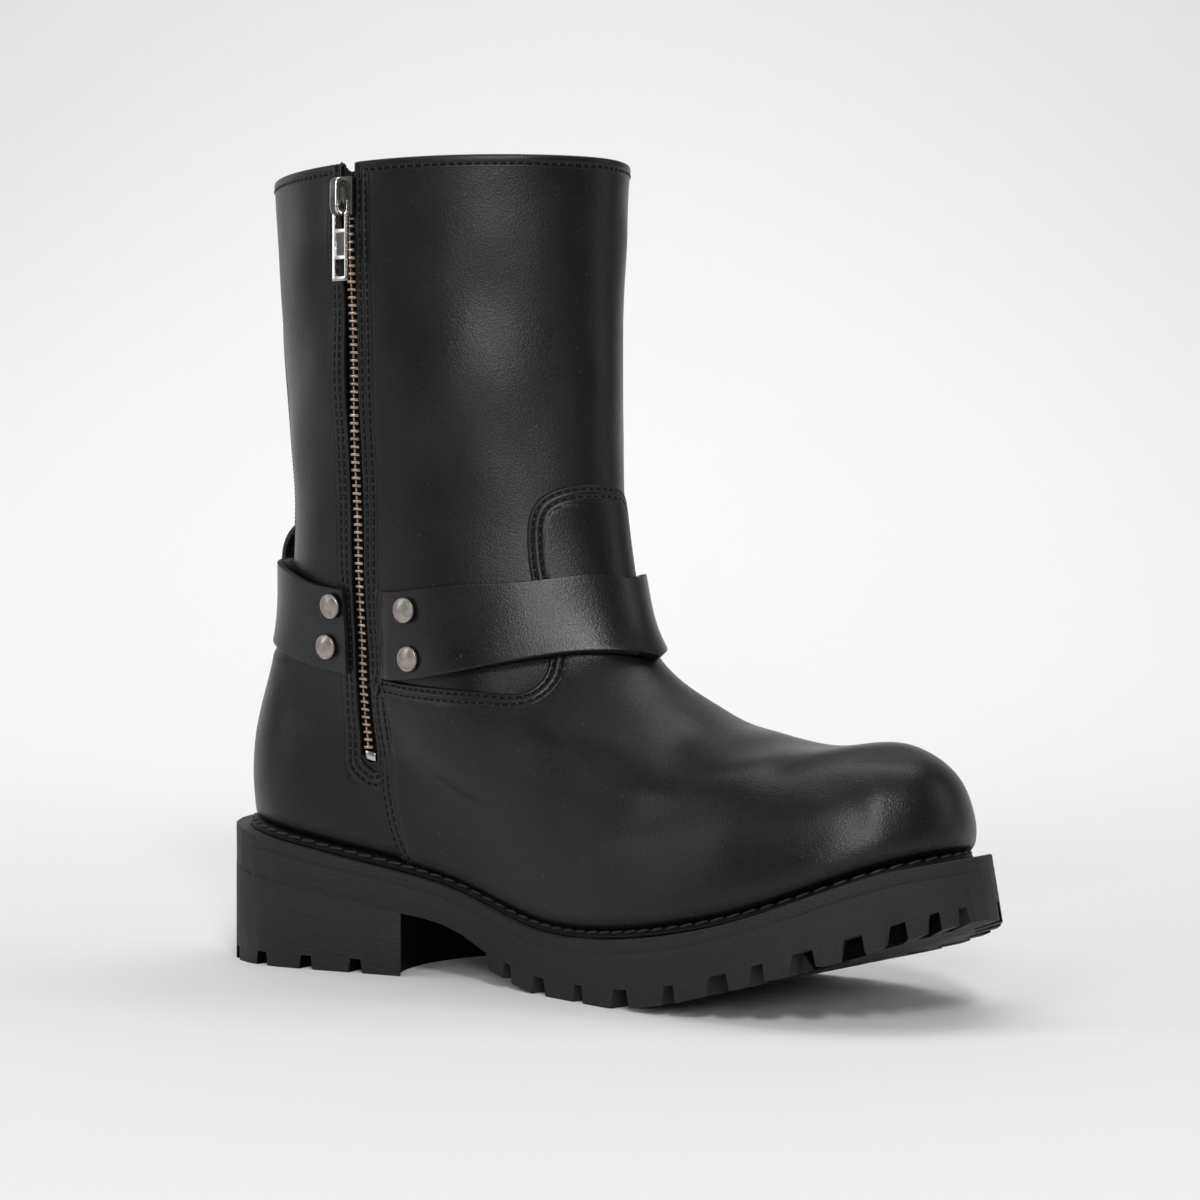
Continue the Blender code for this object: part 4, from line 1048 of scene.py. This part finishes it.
class HARNESS_OT_rivets(Operator):
    """Domed rivets of the strap, turned once and copied"""
    bl_idname = "harness.rivets"
    bl_label = "Rivets"

    # radius and height of each step of the turned head, in mm
    STEPS = ((4.55, 0.35), (4.5, 0.7), (4.3, 0.92), (4.0, 0.95), (3.82, 0.86), (3.66, 0.92), (3.3, 1.12),
             (2.6, 1.38), (1.8, 1.55), (0.9, 1.64), (0.3, 1.66))

    def execute(self, context):
        deselect()
        bpy.ops.mesh.primitive_circle_add(vertices=40, radius=RIVET_RADIUS * MM, fill_type="NGON",
                                          location=(0, 0, 0))
        head = bpy.context.object
        radius, height = RIVET_RADIUS, 0.0
        with editing(head):
            for r, h in self.STEPS:
                rise = (0, 0, (h - height) * MM)
                bpy.ops.mesh.extrude_region_move(TRANSFORM_OT_translate={"value": rise})
                bpy.ops.transform.resize(value=(r / radius, r / radius, 1), center_override=(0, 0, h * MM))
                radius, height = r, h
        smooth(head, 40)
        for name in RIVETS:
            centre, axis = rivet_place(name)
            turn = Vector((0, 0, 1)).rotation_difference(Vector(axis)).to_matrix().to_4x4()
            rivet = bpy.data.objects.new(name.replace("rivet", "rivet_head"), head.data.copy())
            rivet.data.transform(Matrix.Translation(Vector(centre)) @ turn)
            bpy.context.scene.collection.objects.link(rivet)
            face_out(rivet)
            wear(rivet, "nickel")
            seat(rivet, "nickel", name)
        bpy.data.objects.remove(head)
        return {"FINISHED"}


# The slider's bridge in mm: height from the slider's middle and distance out of the leather, and
# half its width
BRIDGE_ARCH = ((5.6, 1.0), (5.9, 3.4), (5.8, 5.6), (5.2, 7.2), (3.6, 7.9), (0.0, 8.0), (-3.4, 8.0),
               (-5.4, 7.6), (-6.4, 6.2), (-6.5, 4.6))
BRIDGE_HALF = 1.6


class HARNESS_OT_zip(Operator):
    """Zip facing, woven tape, teeth, stop and slider"""
    bl_idname = "harness.zip"
    bl_label = "Zip"

    def execute(self, context):
        s = context.scene.harness_boot
        facing = self.facing()
        wear(facing, "leather")
        seat(facing, "leather", "zip_facing")

        tape = copy_of("zip_tape", "tape")
        subdivide(tape, 1)
        wear(tape, "tape")
        seat(tape, "tape", "zip_tape")
        self.teeth(s.zip.pitch)
        fray = self.frayed_end()
        wear(fray, "tape")
        seat(fray, "tape")

        stop = copy_of("zip_stop", "bottom_stop")
        v = coords(stop)
        low, high = v.min(0), v.max(0)
        v[:, 0] += (v[:, 0] - (low[0] + high[0]) / 2) * 0.15 - 1.7 * MM
        v[:, 2] -= (high[2] - v[:, 2]) * 0.45
        move_to(stop, v)
        bevel(stop, 0.3 * MM, 2)
        wear(stop, "plate")
        seat(stop, "brass", "zip_stop")

        slider = copy_of("zip_slider", "slider")
        bevel(slider, 0.32 * MM, 3)
        smooth(slider, 35)
        wear(slider, "dull_plate")
        seat(slider, "steel", "zip_slider")
        bridge = self.bridge()
        wear(bridge, "plate", "dull_plate")
        middle = np.mean([v.co.x for v in bridge.data.vertices])
        # the flat middle of the bridge gets the dark plate: painted shade between its lit bevelled edges
        for f in bridge.data.polygons:
            if abs(f.center.x - middle) < 0.6 * BRIDGE_HALF * MM and abs(f.normal.x) < 0.3:
                f.material_index = 1
        seat(bridge, "steel")
        return {"FINISHED"}

    def frayed_end(self):
        """End of the tape that stands up at the top of the slit, cut slanting and frayed."""
        across = np.linspace(-5.0, 1.2, 26)
        jag = np.random.default_rng(3).uniform(-0.5, 0.5, len(across))
        top = 0.9 - 4.6 * ease(-4.6, 1.2, across) + jag
        lines = []
        for u in np.linspace(0, 1, 6):
            turns = turn_at(TOP_ROW, zip_x(TOP_ROW) + across)
            p = skin(np.full_like(across, TOP_ROW), turns, -1.3 + 0.5 * np.sin(across * 2) * u)
            p[:, 2] += (-7.0 + (top + 7.0) * u) * MM
            lines.append(p)
        fray = grid_piece("tape_end", np.array(lines))
        solidify(fray, 0.5)
        return fray

    def bridge(self):
        """Bar over the slider that the pull hangs on, swept along its arch."""
        low, high = (np.array(c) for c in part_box("zip_slider"))
        mid_x, mid_z = (low[0] + high[0]) / 2, (low[2] + high[2]) / 2
        arch = np.array(BRIDGE_ARCH)
        k = np.arange(len(arch))
        at = np.linspace(0, len(arch) - 1, 40)
        rise, out = spline(k, arch[:, 0], at), spline(k, arch[:, 1], at)
        skin_y = skin(SLIDER_ROW, turn_at(SLIDER_ROW, zip_x(SLIDER_ROW)))[1]
        line = np.column_stack([np.full_like(at, mid_x), skin_y - out * MM, mid_z + rise * MM])
        ahead = unit(np.gradient(line, axis=0))
        side = np.array([1.0, 0.0, 0.0])
        up = np.cross(ahead, side)
        w, t = BRIDGE_HALF * MM, 0.65 * MM
        section = [(-w, -t), (-w, t * 0.4), (-w * 0.72, t), (w * 0.72, t), (w, t * 0.4), (w, -t)]
        bridge = swept("slider_bridge", [line + side * a + up * b for a, b in section])
        bevel(bridge, 0.18 * MM, 2, 25)
        smooth(bridge, 40)
        return bridge

    # distance outside the slit and height in mm: a rolled edge, two rows of stitches, a skived end
    FACING = ((-0.15, -2.2), (-0.35, -1.2), (-0.4, -0.4), (-0.3, 0.1), (0.0, 0.40), (0.4, 0.52),
              (0.8, 0.52), (1.2, 0.50), (1.45, 0.49), (1.7, 0.48), (1.95, 0.47), (2.3, 0.45),
              (2.8, 0.42), (3.4, 0.36), (3.8, 0.30), (4.05, 0.27), (4.3, 0.23), (4.55, 0.20),
              (4.9, 0.15), (5.4, 0.09), (5.9, 0.04), (6.4, 0.0), (6.9, -0.12), (7.2, -0.5))

    def facing(self):
        """Band round the slit; on its front side it lies level with the vamp below the seam."""
        tall = np.linspace(TOP_ROW, ZIP_END_ROW - 0.05, 150)
        left = np.column_stack([tall, np.full_like(tall, -ZIP_HALF_GAP)])
        right = np.column_stack([tall, front_gap(tall)])[::-1]
        foot = np.array([(4.07, -2.9), (3.93, -1.2), (3.81, 0.8), (3.73, 3.0), (3.87, 4.5)])
        ring = np.vstack([left, foot, right])
        ring[:, 1] = turn_at(ring[:, 0], zip_x(ring[:, 0]) + ring[:, 1])
        line = smooth_line(ring, EDGE_PITCH)
        lines = beside(line, [d for d, _ in self.FACING])
        points = []
        for q, (d, off) in zip(lines, self.FACING):
            dip = float(thread_dip(d, FACING_ROWS)) * (d > 0.5)
            points.append(hide(q[:, 0], q[:, 1], self.level(q, d, off) - dip))
        facing = grid_piece("facing", points[::-1])
        solidify(facing, EDGE_WALL)
        for d in FACING_ROWS:
            q = beside(line, [d])[0]
            sew(q, self.level(q, d, float(np.interp(d, *zip(*self.FACING)))) - STITCH_DEPTH + 0.08)
        return facing

    def level(self, q, d, off):
        """Height of the facing: over the strap's ends and the vamp's edge it lies on them."""
        side = q[:, 1] - turn_at(q[:, 0], zip_x(q[:, 0]))
        onto = ease(0.0, 0.1, side) * (1 - ease(9.1, 9.4, q[:, 0])) * ease(3.0, 3.7, q[:, 0])
        out = off + (VAMP_HEIGHT - 0.2 - off) * ease(0.5, 3.0, d) * onto
        low, high = strap_rows()
        span = ease(low - 0.12, low + 0.12, q[:, 0]) * (1 - ease(high - 0.12, high + 0.12, q[:, 0]))
        return out + STRAP_END * span * ease(3.2, 5.6, d) * (side > 0)

    def teeth(self, pitch):
        """Closed chain: bars with the nubs that hook them together, each modelled once."""
        shapes = []
        for size in ((1.05, 4.2, 1.6), (1.5, 0.85, 1.9)):
            deselect()
            bpy.ops.mesh.primitive_cube_add(size=1, location=(0, 0, 0))
            tooth = bpy.context.object
            tooth.data.transform(Matrix.Diagonal((*(k * MM for k in size), 1)))
            bevel(tooth, 0.3 * MM, 2)
            shape, faces = taken(tooth)
            shapes.append(shape)
        rows = np.linspace(5.0, 15.85, 400)
        turns = turn_at(rows, zip_x(rows))
        middle, near = skin(rows, turns, -1.15), skin(rows, turns)
        places = []
        for p, t in zip(*even_steps(middle, pitch / 2)):
            i = int(np.argmin(np.linalg.norm(middle - p, axis=1)))
            up = unit(near[i] - middle[i])
            places.append((p, t, unit(np.cross(up, t)), up))
        chain = strewn("teeth", shapes, faces, places)
        smooth(chain, 40)
        wear(chain, "teeth")
        seat(chain, "brass", "zip_chain")


class HARNESS_OT_pull(Operator):
    """Pull tab with its eye, sunk panel and window"""
    bl_idname = "harness.pull"
    bl_label = "Zip pull"

    def execute(self, context):
        low, high = (np.array(c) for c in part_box("zip_pull"))
        mid = (low + high) / 2
        top, depth = high[2], high[1] - low[1]
        half = (high[0] - low[0]) / 2
        xs = (-half, -0.62 * half, 0.62 * half, half)
        # cross lines in mm below the top, and those at the foot of the eye, the panel and the window
        zs = (0.0, 1.15, 10.15, 11.3, 19.6, 20.8, 26.9, (high[2] - low[2]) / MM)
        eye, sunk, window = 2, 4, 6
        deselect()
        bpy.ops.mesh.primitive_grid_add(x_subdivisions=3, y_subdivisions=7, size=2, location=(0, 0, 0))
        tab = bpy.context.object
        v = coords(tab)
        col = np.rint((v[:, 0] + 1) * 1.5).astype(int)
        line = np.rint((1 - v[:, 1]) * 3.5).astype(int)
        x, z = mid[0] + np.array(xs)[col], top - np.array(zs)[line] * MM
        move_to(tab, np.stack([x, np.full(len(v), low[1]), z], -1))
        with editing(tab):
            bm = bmesh.from_edit_mesh(tab.data)
            holes, panel = [], []
            for f in bm.faces:
                c = f.calc_center_median()
                band = np.searchsorted(zs, (top - c.z) / MM)
                if abs(c.x - mid[0]) < 0.3 * half:
                    if band in (eye, window):
                        holes.append(f)
                    elif band == sunk:
                        panel.append(f)
            bmesh.ops.delete(bm, geom=holes, context="FACES")
            for f in bm.faces:
                f.select = f in panel
            bmesh.update_edit_mesh(tab.data)
            bpy.ops.mesh.select_mode(type="FACE")
            bpy.ops.mesh.inset(thickness=0.2 * MM)
            bpy.ops.transform.translate(value=(0, 0.4 * MM, 0))
        with opened(tab) as bm:
            bmesh.ops.recalc_face_normals(bm, faces=bm.faces)
            if sum(f.normal.y for f in bm.faces) > 0:
                bmesh.ops.reverse_faces(bm, faces=bm.faces)
        solidify(tab, depth / MM)
        bevel(tab, 0.28 * MM, 3)
        tab.name = "pull_tab"
        smooth(tab, 35)
        wear(tab, "plate", "dull_plate")
        # the face of the sunk panel gets the dark plate: painted shade in the recess
        for f in tab.data.polygons:
            band = np.searchsorted(zs, (top - f.center.z) / MM)
            if f.normal.y < -0.9 and abs(f.center.x - mid[0]) < 0.55 * half and band == sunk:
                f.material_index = 1
        seat(tab, "steel", "zip_pull", body=PULL)
        return {"FINISHED"}


# Gap in mm that the solids leave between the layers of the sole
LAYER_GAP = 0.64
# Tilt of the faces that meet the next layer or look ahead
MEET = 0.35
# Width of a notch between lugs and largest area of a face in it, in metres
NOTCH_REACH = 0.013
NOTCH_AREA = 4.5e-5


class HARNESS_OT_sole(Operator):
    """Midsole, lugged outsole, heel and insole"""
    bl_idname = "harness.sole"
    bl_label = "Sole"

    def execute(self, context):
        for node, name, width in (("midsole", "midsole_layer", 0.6), ("outsole", "tread", 0.3),
                                  ("heel", "heel_block", 0.3)):
            piece = copy_of(node, name)
            v, tilt = coords(piece), normals(piece)[:, 2]
            meet = {"midsole": tilt < -MEET, "heel": tilt > MEET}.get(node, False)
            v[:, 2] += np.where(meet, np.sign(tilt) * LAYER_GAP * MM, 0)
            move_to(piece, v)
            bevel(piece, width * MM, 2, 30)
            v = coords(piece)
            note(piece, "edge_drop", sole_top(v[:, 0] / MM + SHIFT[0]) * MM - v[:, 2])
            smooth(piece, 32)
            wear(piece, "rubber", "notch")
            self.paint_notch_shade(piece)
            seat(piece, "rubber", node)
        insole = copy_of("insole", "footbed")
        bevel(insole, 1.0 * MM, 3, 40)
        wear(insole, "footbed")
        seat(insole, "board", "insole")
        return {"FINISHED"}

    def paint_notch_shade(self, piece):
        """Painted shade: dark, dull rubber on the walls inside the notches between lugs, and on the heel's
        breast where shadow falls under the arch.
        """
        tree = surface_of(piece)
        for f in piece.data.polygons:
            # the heel's breast, in the shade of the arch, gets the same painted shadow
            if piece.name == "heel_block" and f.normal.x > MEET:
                f.material_index = 1
            if abs(f.normal.z) > 0.6 or f.area > NOTCH_AREA:
                continue
            start = f.center + f.normal * 0.3 * MM
            along = Vector((-f.normal.y, f.normal.x, 0)).normalized()
            faced = tree.ray_cast(start, f.normal, NOTCH_REACH)[0]
            both = [tree.ray_cast(start, along * k, NOTCH_REACH)[0] for k in (1, -1)]
            if faced is not None or all(b is not None for b in both):
                f.material_index = 1


class HARNESS_OT_welt(Operator):
    """Welt strip and its long stitches"""
    bl_idname = "harness.welt"
    bl_label = "Welt"

    # distance outside the feather line and height above the sole, in mm
    PROFILE = ((-5.0, 0.4), (-5.0, 2.6), (-2.6, 3.2), (-0.9, 3.3), (0.0, 3.1), (0.8, 2.65), (1.5, 2.05),
               (2.1, 1.4), (2.6, 0.75), (2.85, 0.2), (2.9, -0.3), (0.0, -0.3))

    def execute(self, context):
        s = context.scene.harness_boot
        turns = np.linspace(0, FULL_TURN, 420, endpoint=False)
        welt = swept("welt_strip", [self.ring(turns, r, h) for r, h in self.PROFILE], closed=True)
        wear(welt, "welt")
        seat(welt, "leather", "welt")
        low, high = self.ring(turns, 1.75, 1.8), self.ring(turns, 2.5, 2.46)
        stitches("welt_stitches", [(low, unit(high - low))], s.thread.welt_pitch, (5.7, 1.5, 1.0),
                 "welt_thread", closed=True, slant=9)
        return {"FINISHED"}

    def ring(self, turns, out, height):
        """Closed line round the boot, out mm outside the feather line and height mm above the sole."""
        foot = last(np.zeros_like(turns), turns)[:, :2]
        ahead = np.roll(foot, -1, 0) - np.roll(foot, 1, 0)
        away = unit(np.stack([ahead[:, 1], -ahead[:, 0]], -1))
        away *= np.sign(np.median(np.sum(away * (foot - (160.0, 0.0)), 1)))
        p = foot + away * out
        return (np.column_stack([p, sole_top(foot[:, 0]) + height]) - SHIFT) * MM


def stitches(name, rows, pitch, size, mat, closed=False, slant=0.0, start=0.5):
    """Threads one stitch, modelled once, along rows of a seam; slant in degrees."""
    deselect()
    bpy.ops.mesh.primitive_uv_sphere_add(segments=8, ring_count=6, radius=0.5, location=(0, 0, 0))
    one = bpy.context.object
    one.data.transform(Matrix.Rotation(math.pi / 2, 4, "Y"))
    shape, faces = taken(one)
    # blunt the ends, so that the stitch reads as a thread and not a seed
    shape[:, 0] = np.sign(shape[:, 0]) * (np.abs(shape[:, 0]) * 2) ** 0.8 / 2
    shape *= np.array(size) * MM
    c, k = math.cos(math.radians(slant)), math.sin(math.radians(slant))
    shape[:, :2] = shape[:, :2] @ np.array([[c, k], [-k, c]])
    places = []
    for spots, ups in rows:
        for p, t in zip(*even_steps(spots, pitch, closed, start)):
            side = unit(np.cross(ups[int(np.argmin(np.linalg.norm(spots - p, axis=1)))], t))
            places.append((p, t, side, np.cross(t, side)))
    piece = strewn(name, [shape], faces, places)
    wear(piece, mat)
    seat(piece, "leather")


class HARNESS_OT_thread(Operator):
    """Stitches of every sewn row"""
    bl_idname = "harness.thread"
    bl_label = "Stitching"

    def execute(self, context):
        s = context.scene.harness_boot
        stitches("seam_stitches", SEWN, s.thread.pitch, (2.1, 1.0, 0.55), "thread")
        # Between two stitches the leather stands up a little; these bumps are painted lighter and shinier
        # than the leather, a painted highlight where they catch the light
        stitches("seam_puckers", SEWN, s.thread.pitch, (0.75, 1.1, 0.9), "pucker", start=0.0)
        return {"FINISHED"}


class HARNESS_OT_stage(Operator):
    """Pale floor and backdrop, soft lights and the camera"""
    bl_idname = "harness.stage"
    bl_label = "Stage"

    # way the camera looks, turned from straight along y
    VIEW = math.radians(35.0)
    # as seen from the camera: name, (right, up, towards the camera), size, share of the key's power,
    # then what it aims at and its spread in degrees, if they aren't those of most lights
    LIGHTS = (
        ("key", (0.25, 1.35, 1.75), (0.3, 0.45), 1.45),
        ("key_left", (-0.9, 1.35, 1.6), (0.6, 0.5), 0.4),
        ("front", (0.0, 0.72, 2.3), (0.5, 0.5), 1.25),
        ("side_left", (-2.0, 0.9, 0.2), (0.7, 1.4), 0.65),
        ("rear_left", (-1.6, 0.9, -1.2), (0.7, 1.4), 0.2),
        ("side_right", (2.0, 0.9, 0.0), (0.7, 1.4), 0.35),
        ("overhead", (0.0, 2.3, -0.1), (2.4, 2.4), 1.1, (0, 0.0, 0)),
        ("backdrop_wash", (0.0, 2.4, -0.6), (2.4, 1.6), 2.8, (0.0, 0.3, -3.0)),
        ("backdrop_pool", (0.0, 1.9, 0.2), (0.5, 0.5), 0.17, (0.0, 0.25, -1.8), 70),
    )

    def execute(self, context):
        scene, s = context.scene, context.scene.harness_boot.stage
        self.floor(s.floor)
        world = bpy.data.worlds.new("studio")
        world.use_nodes = True
        sky = world.node_tree.nodes["Background"]
        sky.inputs["Color"].default_value = (1.0, 0.99, 0.985, 1)
        sky.inputs["Strength"].default_value = 0.12
        scene.world = world
        for light in self.LIGHTS:
            self.light(scene, s.key, *light)
        self.camera(scene)
        scene.view_settings.view_transform = "Standard"
        return {"FINISHED"}

    def floor(self, colour):
        """Floor that curves up into the backdrop."""
        deselect()
        bpy.ops.mesh.primitive_plane_add(size=12, location=(0, 0, 0))
        floor = bpy.context.object
        floor.name = "floor"
        with editing(floor):
            bpy.ops.mesh.select_mode(type="EDGE")
            bpy.ops.mesh.select_all(action="DESELECT")
            bm = bmesh.from_edit_mesh(floor.data)
            for e in bm.edges:
                if all(v.co.y > 5.9 for v in e.verts):
                    e.select_set(True)
            bmesh.update_edit_mesh(floor.data)
            bpy.ops.mesh.extrude_region_move(TRANSFORM_OT_translate={"value": (0, 0, 7)})
        floor.data.transform(Matrix.Rotation(self.VIEW, 4, "Z") @ Matrix.Translation((0, -3.0, 0)))
        bevel(floor, 2.3, 40, 40)
        pick(floor)
        bpy.ops.object.shade_smooth()
        p = Paint("pale_paper")
        paper = p.tint(p.noise(3.0, 2.0), colour, 0.995, 1.005)
        floor.data.materials.append(p.shade(Base_Color=paper, Roughness=0.9, Specular_IOR_Level=0.1))

    def light(self, scene, key, name, place, size, share, aim=(0, 0.14, 0), spread=180):
        right = Vector((math.cos(self.VIEW), math.sin(self.VIEW), 0))
        near = Vector((math.sin(self.VIEW), -math.cos(self.VIEW), 0))
        start, end = (right * p[0] + Vector((0, 0, p[1])) + near * p[2] for p in (place, aim))
        data = bpy.data.lights.new(name, "AREA")
        data.spread = math.radians(spread)
        data.shape = "RECTANGLE"
        data.size, data.size_y = size
        data.energy = key * share
        lamp = bpy.data.objects.new(name, data)
        lamp.location = start
        lamp.rotation_euler = (end - start).to_track_quat("-Z", "Y").to_euler()
        scene.collection.objects.link(lamp)

    def camera(self, scene):
        """Camera of the photograph, as fitted to the solids."""
        data = bpy.data.cameras.new("photo_view")
        data.sensor_width = 36.0
        data.sensor_fit = "HORIZONTAL"
        data.lens = 88.6
        data.shift_y = -50 / 1200
        data.clip_end = 50
        camera = bpy.data.objects.new("photo_view", data)
        camera.location = (0.6023, -0.8591, 0.153)
        camera.rotation_euler = (math.pi / 2, 0, self.VIEW)
        scene.collection.objects.link(camera)
        scene.camera = camera


class HARNESS_PT_boot(Panel):
    """Pieces of the boot in the order they are made"""
    bl_idname = "HARNESS_PT_boot"
    bl_label = "Harness boot"
    bl_space_type = "VIEW_3D"
    bl_region_type = "UI"
    bl_category = "Boot"

    def draw(self, context):
        s = context.scene.harness_boot
        for group in (s.leather, s.thread, s.zip, s.sole, s.stage):
            for key in group.bl_rna.properties.keys():
                if key not in ("rna_type", "name"):
                    self.layout.prop(group, key)
        for op in PIECES:
            self.layout.operator(op.bl_idname)


MATS = {}
GROUPS = (BootLeather, BootThread, BootZip, BootSole, BootStage, BootSettings)
PIECES = (HARNESS_OT_upper, HARNESS_OT_vamp, HARNESS_OT_strap, HARNESS_OT_rivets, HARNESS_OT_zip,
          HARNESS_OT_pull, HARNESS_OT_sole, HARNESS_OT_welt, HARNESS_OT_thread, HARNESS_OT_stage)


def finishes(s):
    """The boot's materials, from the settings."""
    black = shaded(s.leather.colour, 0.62)
    inside, waxed, sole = s.leather.inside, s.thread.colour, s.sole.colour
    # painted shade: darker, duller copies of the leather for the bands by the welt
    for k, (_, dark, shine) in enumerate(FOOT_SHADE_BANDS):
        MATS["foot_%d" % k] = leather("oiled_leather_foot_%d" % k, shaded(black, dark), shine=shine)
    MATS.update(
        leather=leather("oiled_leather", black),
        strap=leather("strap_leather", shaded(black, 1.05), rough=(0.25, 0.38), shine=0.42),
        # painted highlight: lighter, shinier leather for the bumps between stitches
        pucker=leather("stitch_pucker", shaded(black, 1.7), rough=(0.28, 0.4), shine=0.5),
        raw_edge=leather("cut_edge", shaded(black, 1.9), rough=(0.6, 0.75), grain=1.6),
        welt=leather("welt_leather", shaded(black, 0.35), rough=(0.45, 0.6), shine=0.14),
        lining=lining("shaft_lining", inside),
        footbed=lining("footbed_cloth", shaded(inside, 1.3)),
        thread=thread("waxed_thread", waxed),
        welt_thread=thread("welt_thread", shaded(waxed, 3.4), shine=0.35),
        rubber=rubber("ground_rubber", shaded(sole, 0.7), shine=0.34),
        # painted shade for the notches between lugs and the heel's breast
        notch=rubber("notch_shade_rubber", shaded(sole, 0.12), shine=0.04),
        tape=woven("zip_cloth", (0.009, 0.009, 0.0095)),
        teeth=metal("antique_brass", s.zip.teeth, (0.22, 0.165, 0.13), (0.22, 0.42), 400.0),
        plate=metal("bright_plate", shaded(s.zip.plate, 0.85), (0.45, 0.44, 0.42), (0.14, 0.28), 150.0,
                    0.8),
        # dark, rough plate for the slider, and painted shade on the flat middle of the bridge and on the
        # pull's sunk panel
        dull_plate=metal("dull_plate", (0.15, 0.147, 0.143), (0.08, 0.078, 0.076), (0.42, 0.58), 200.0),
        nickel=metal("antique_nickel", (0.50, 0.46, 0.43), (0.20, 0.17, 0.15), (0.3, 0.5), 320.0, 0.7),
    )


def register():
    for cls in GROUPS + PIECES + (HARNESS_PT_boot,):
        bpy.utils.register_class(cls)
    bpy.types.Scene.harness_boot = PointerProperty(type=BootSettings)


def unregister():
    del bpy.types.Scene.harness_boot
    for cls in reversed(GROUPS + PIECES + (HARNESS_PT_boot,)):
        bpy.utils.unregister_class(cls)


def main():
    register()
    finishes(bpy.context.scene.harness_boot)
    bpy.ops.harness.upper()
    bpy.ops.harness.vamp()
    bpy.ops.harness.strap()
    bpy.ops.harness.rivets()
    bpy.ops.harness.zip()
    bpy.ops.harness.pull()
    bpy.ops.harness.sole()
    bpy.ops.harness.welt()
    bpy.ops.harness.thread()
    bpy.ops.harness.stage()


if __name__ == "__main__":
    main()
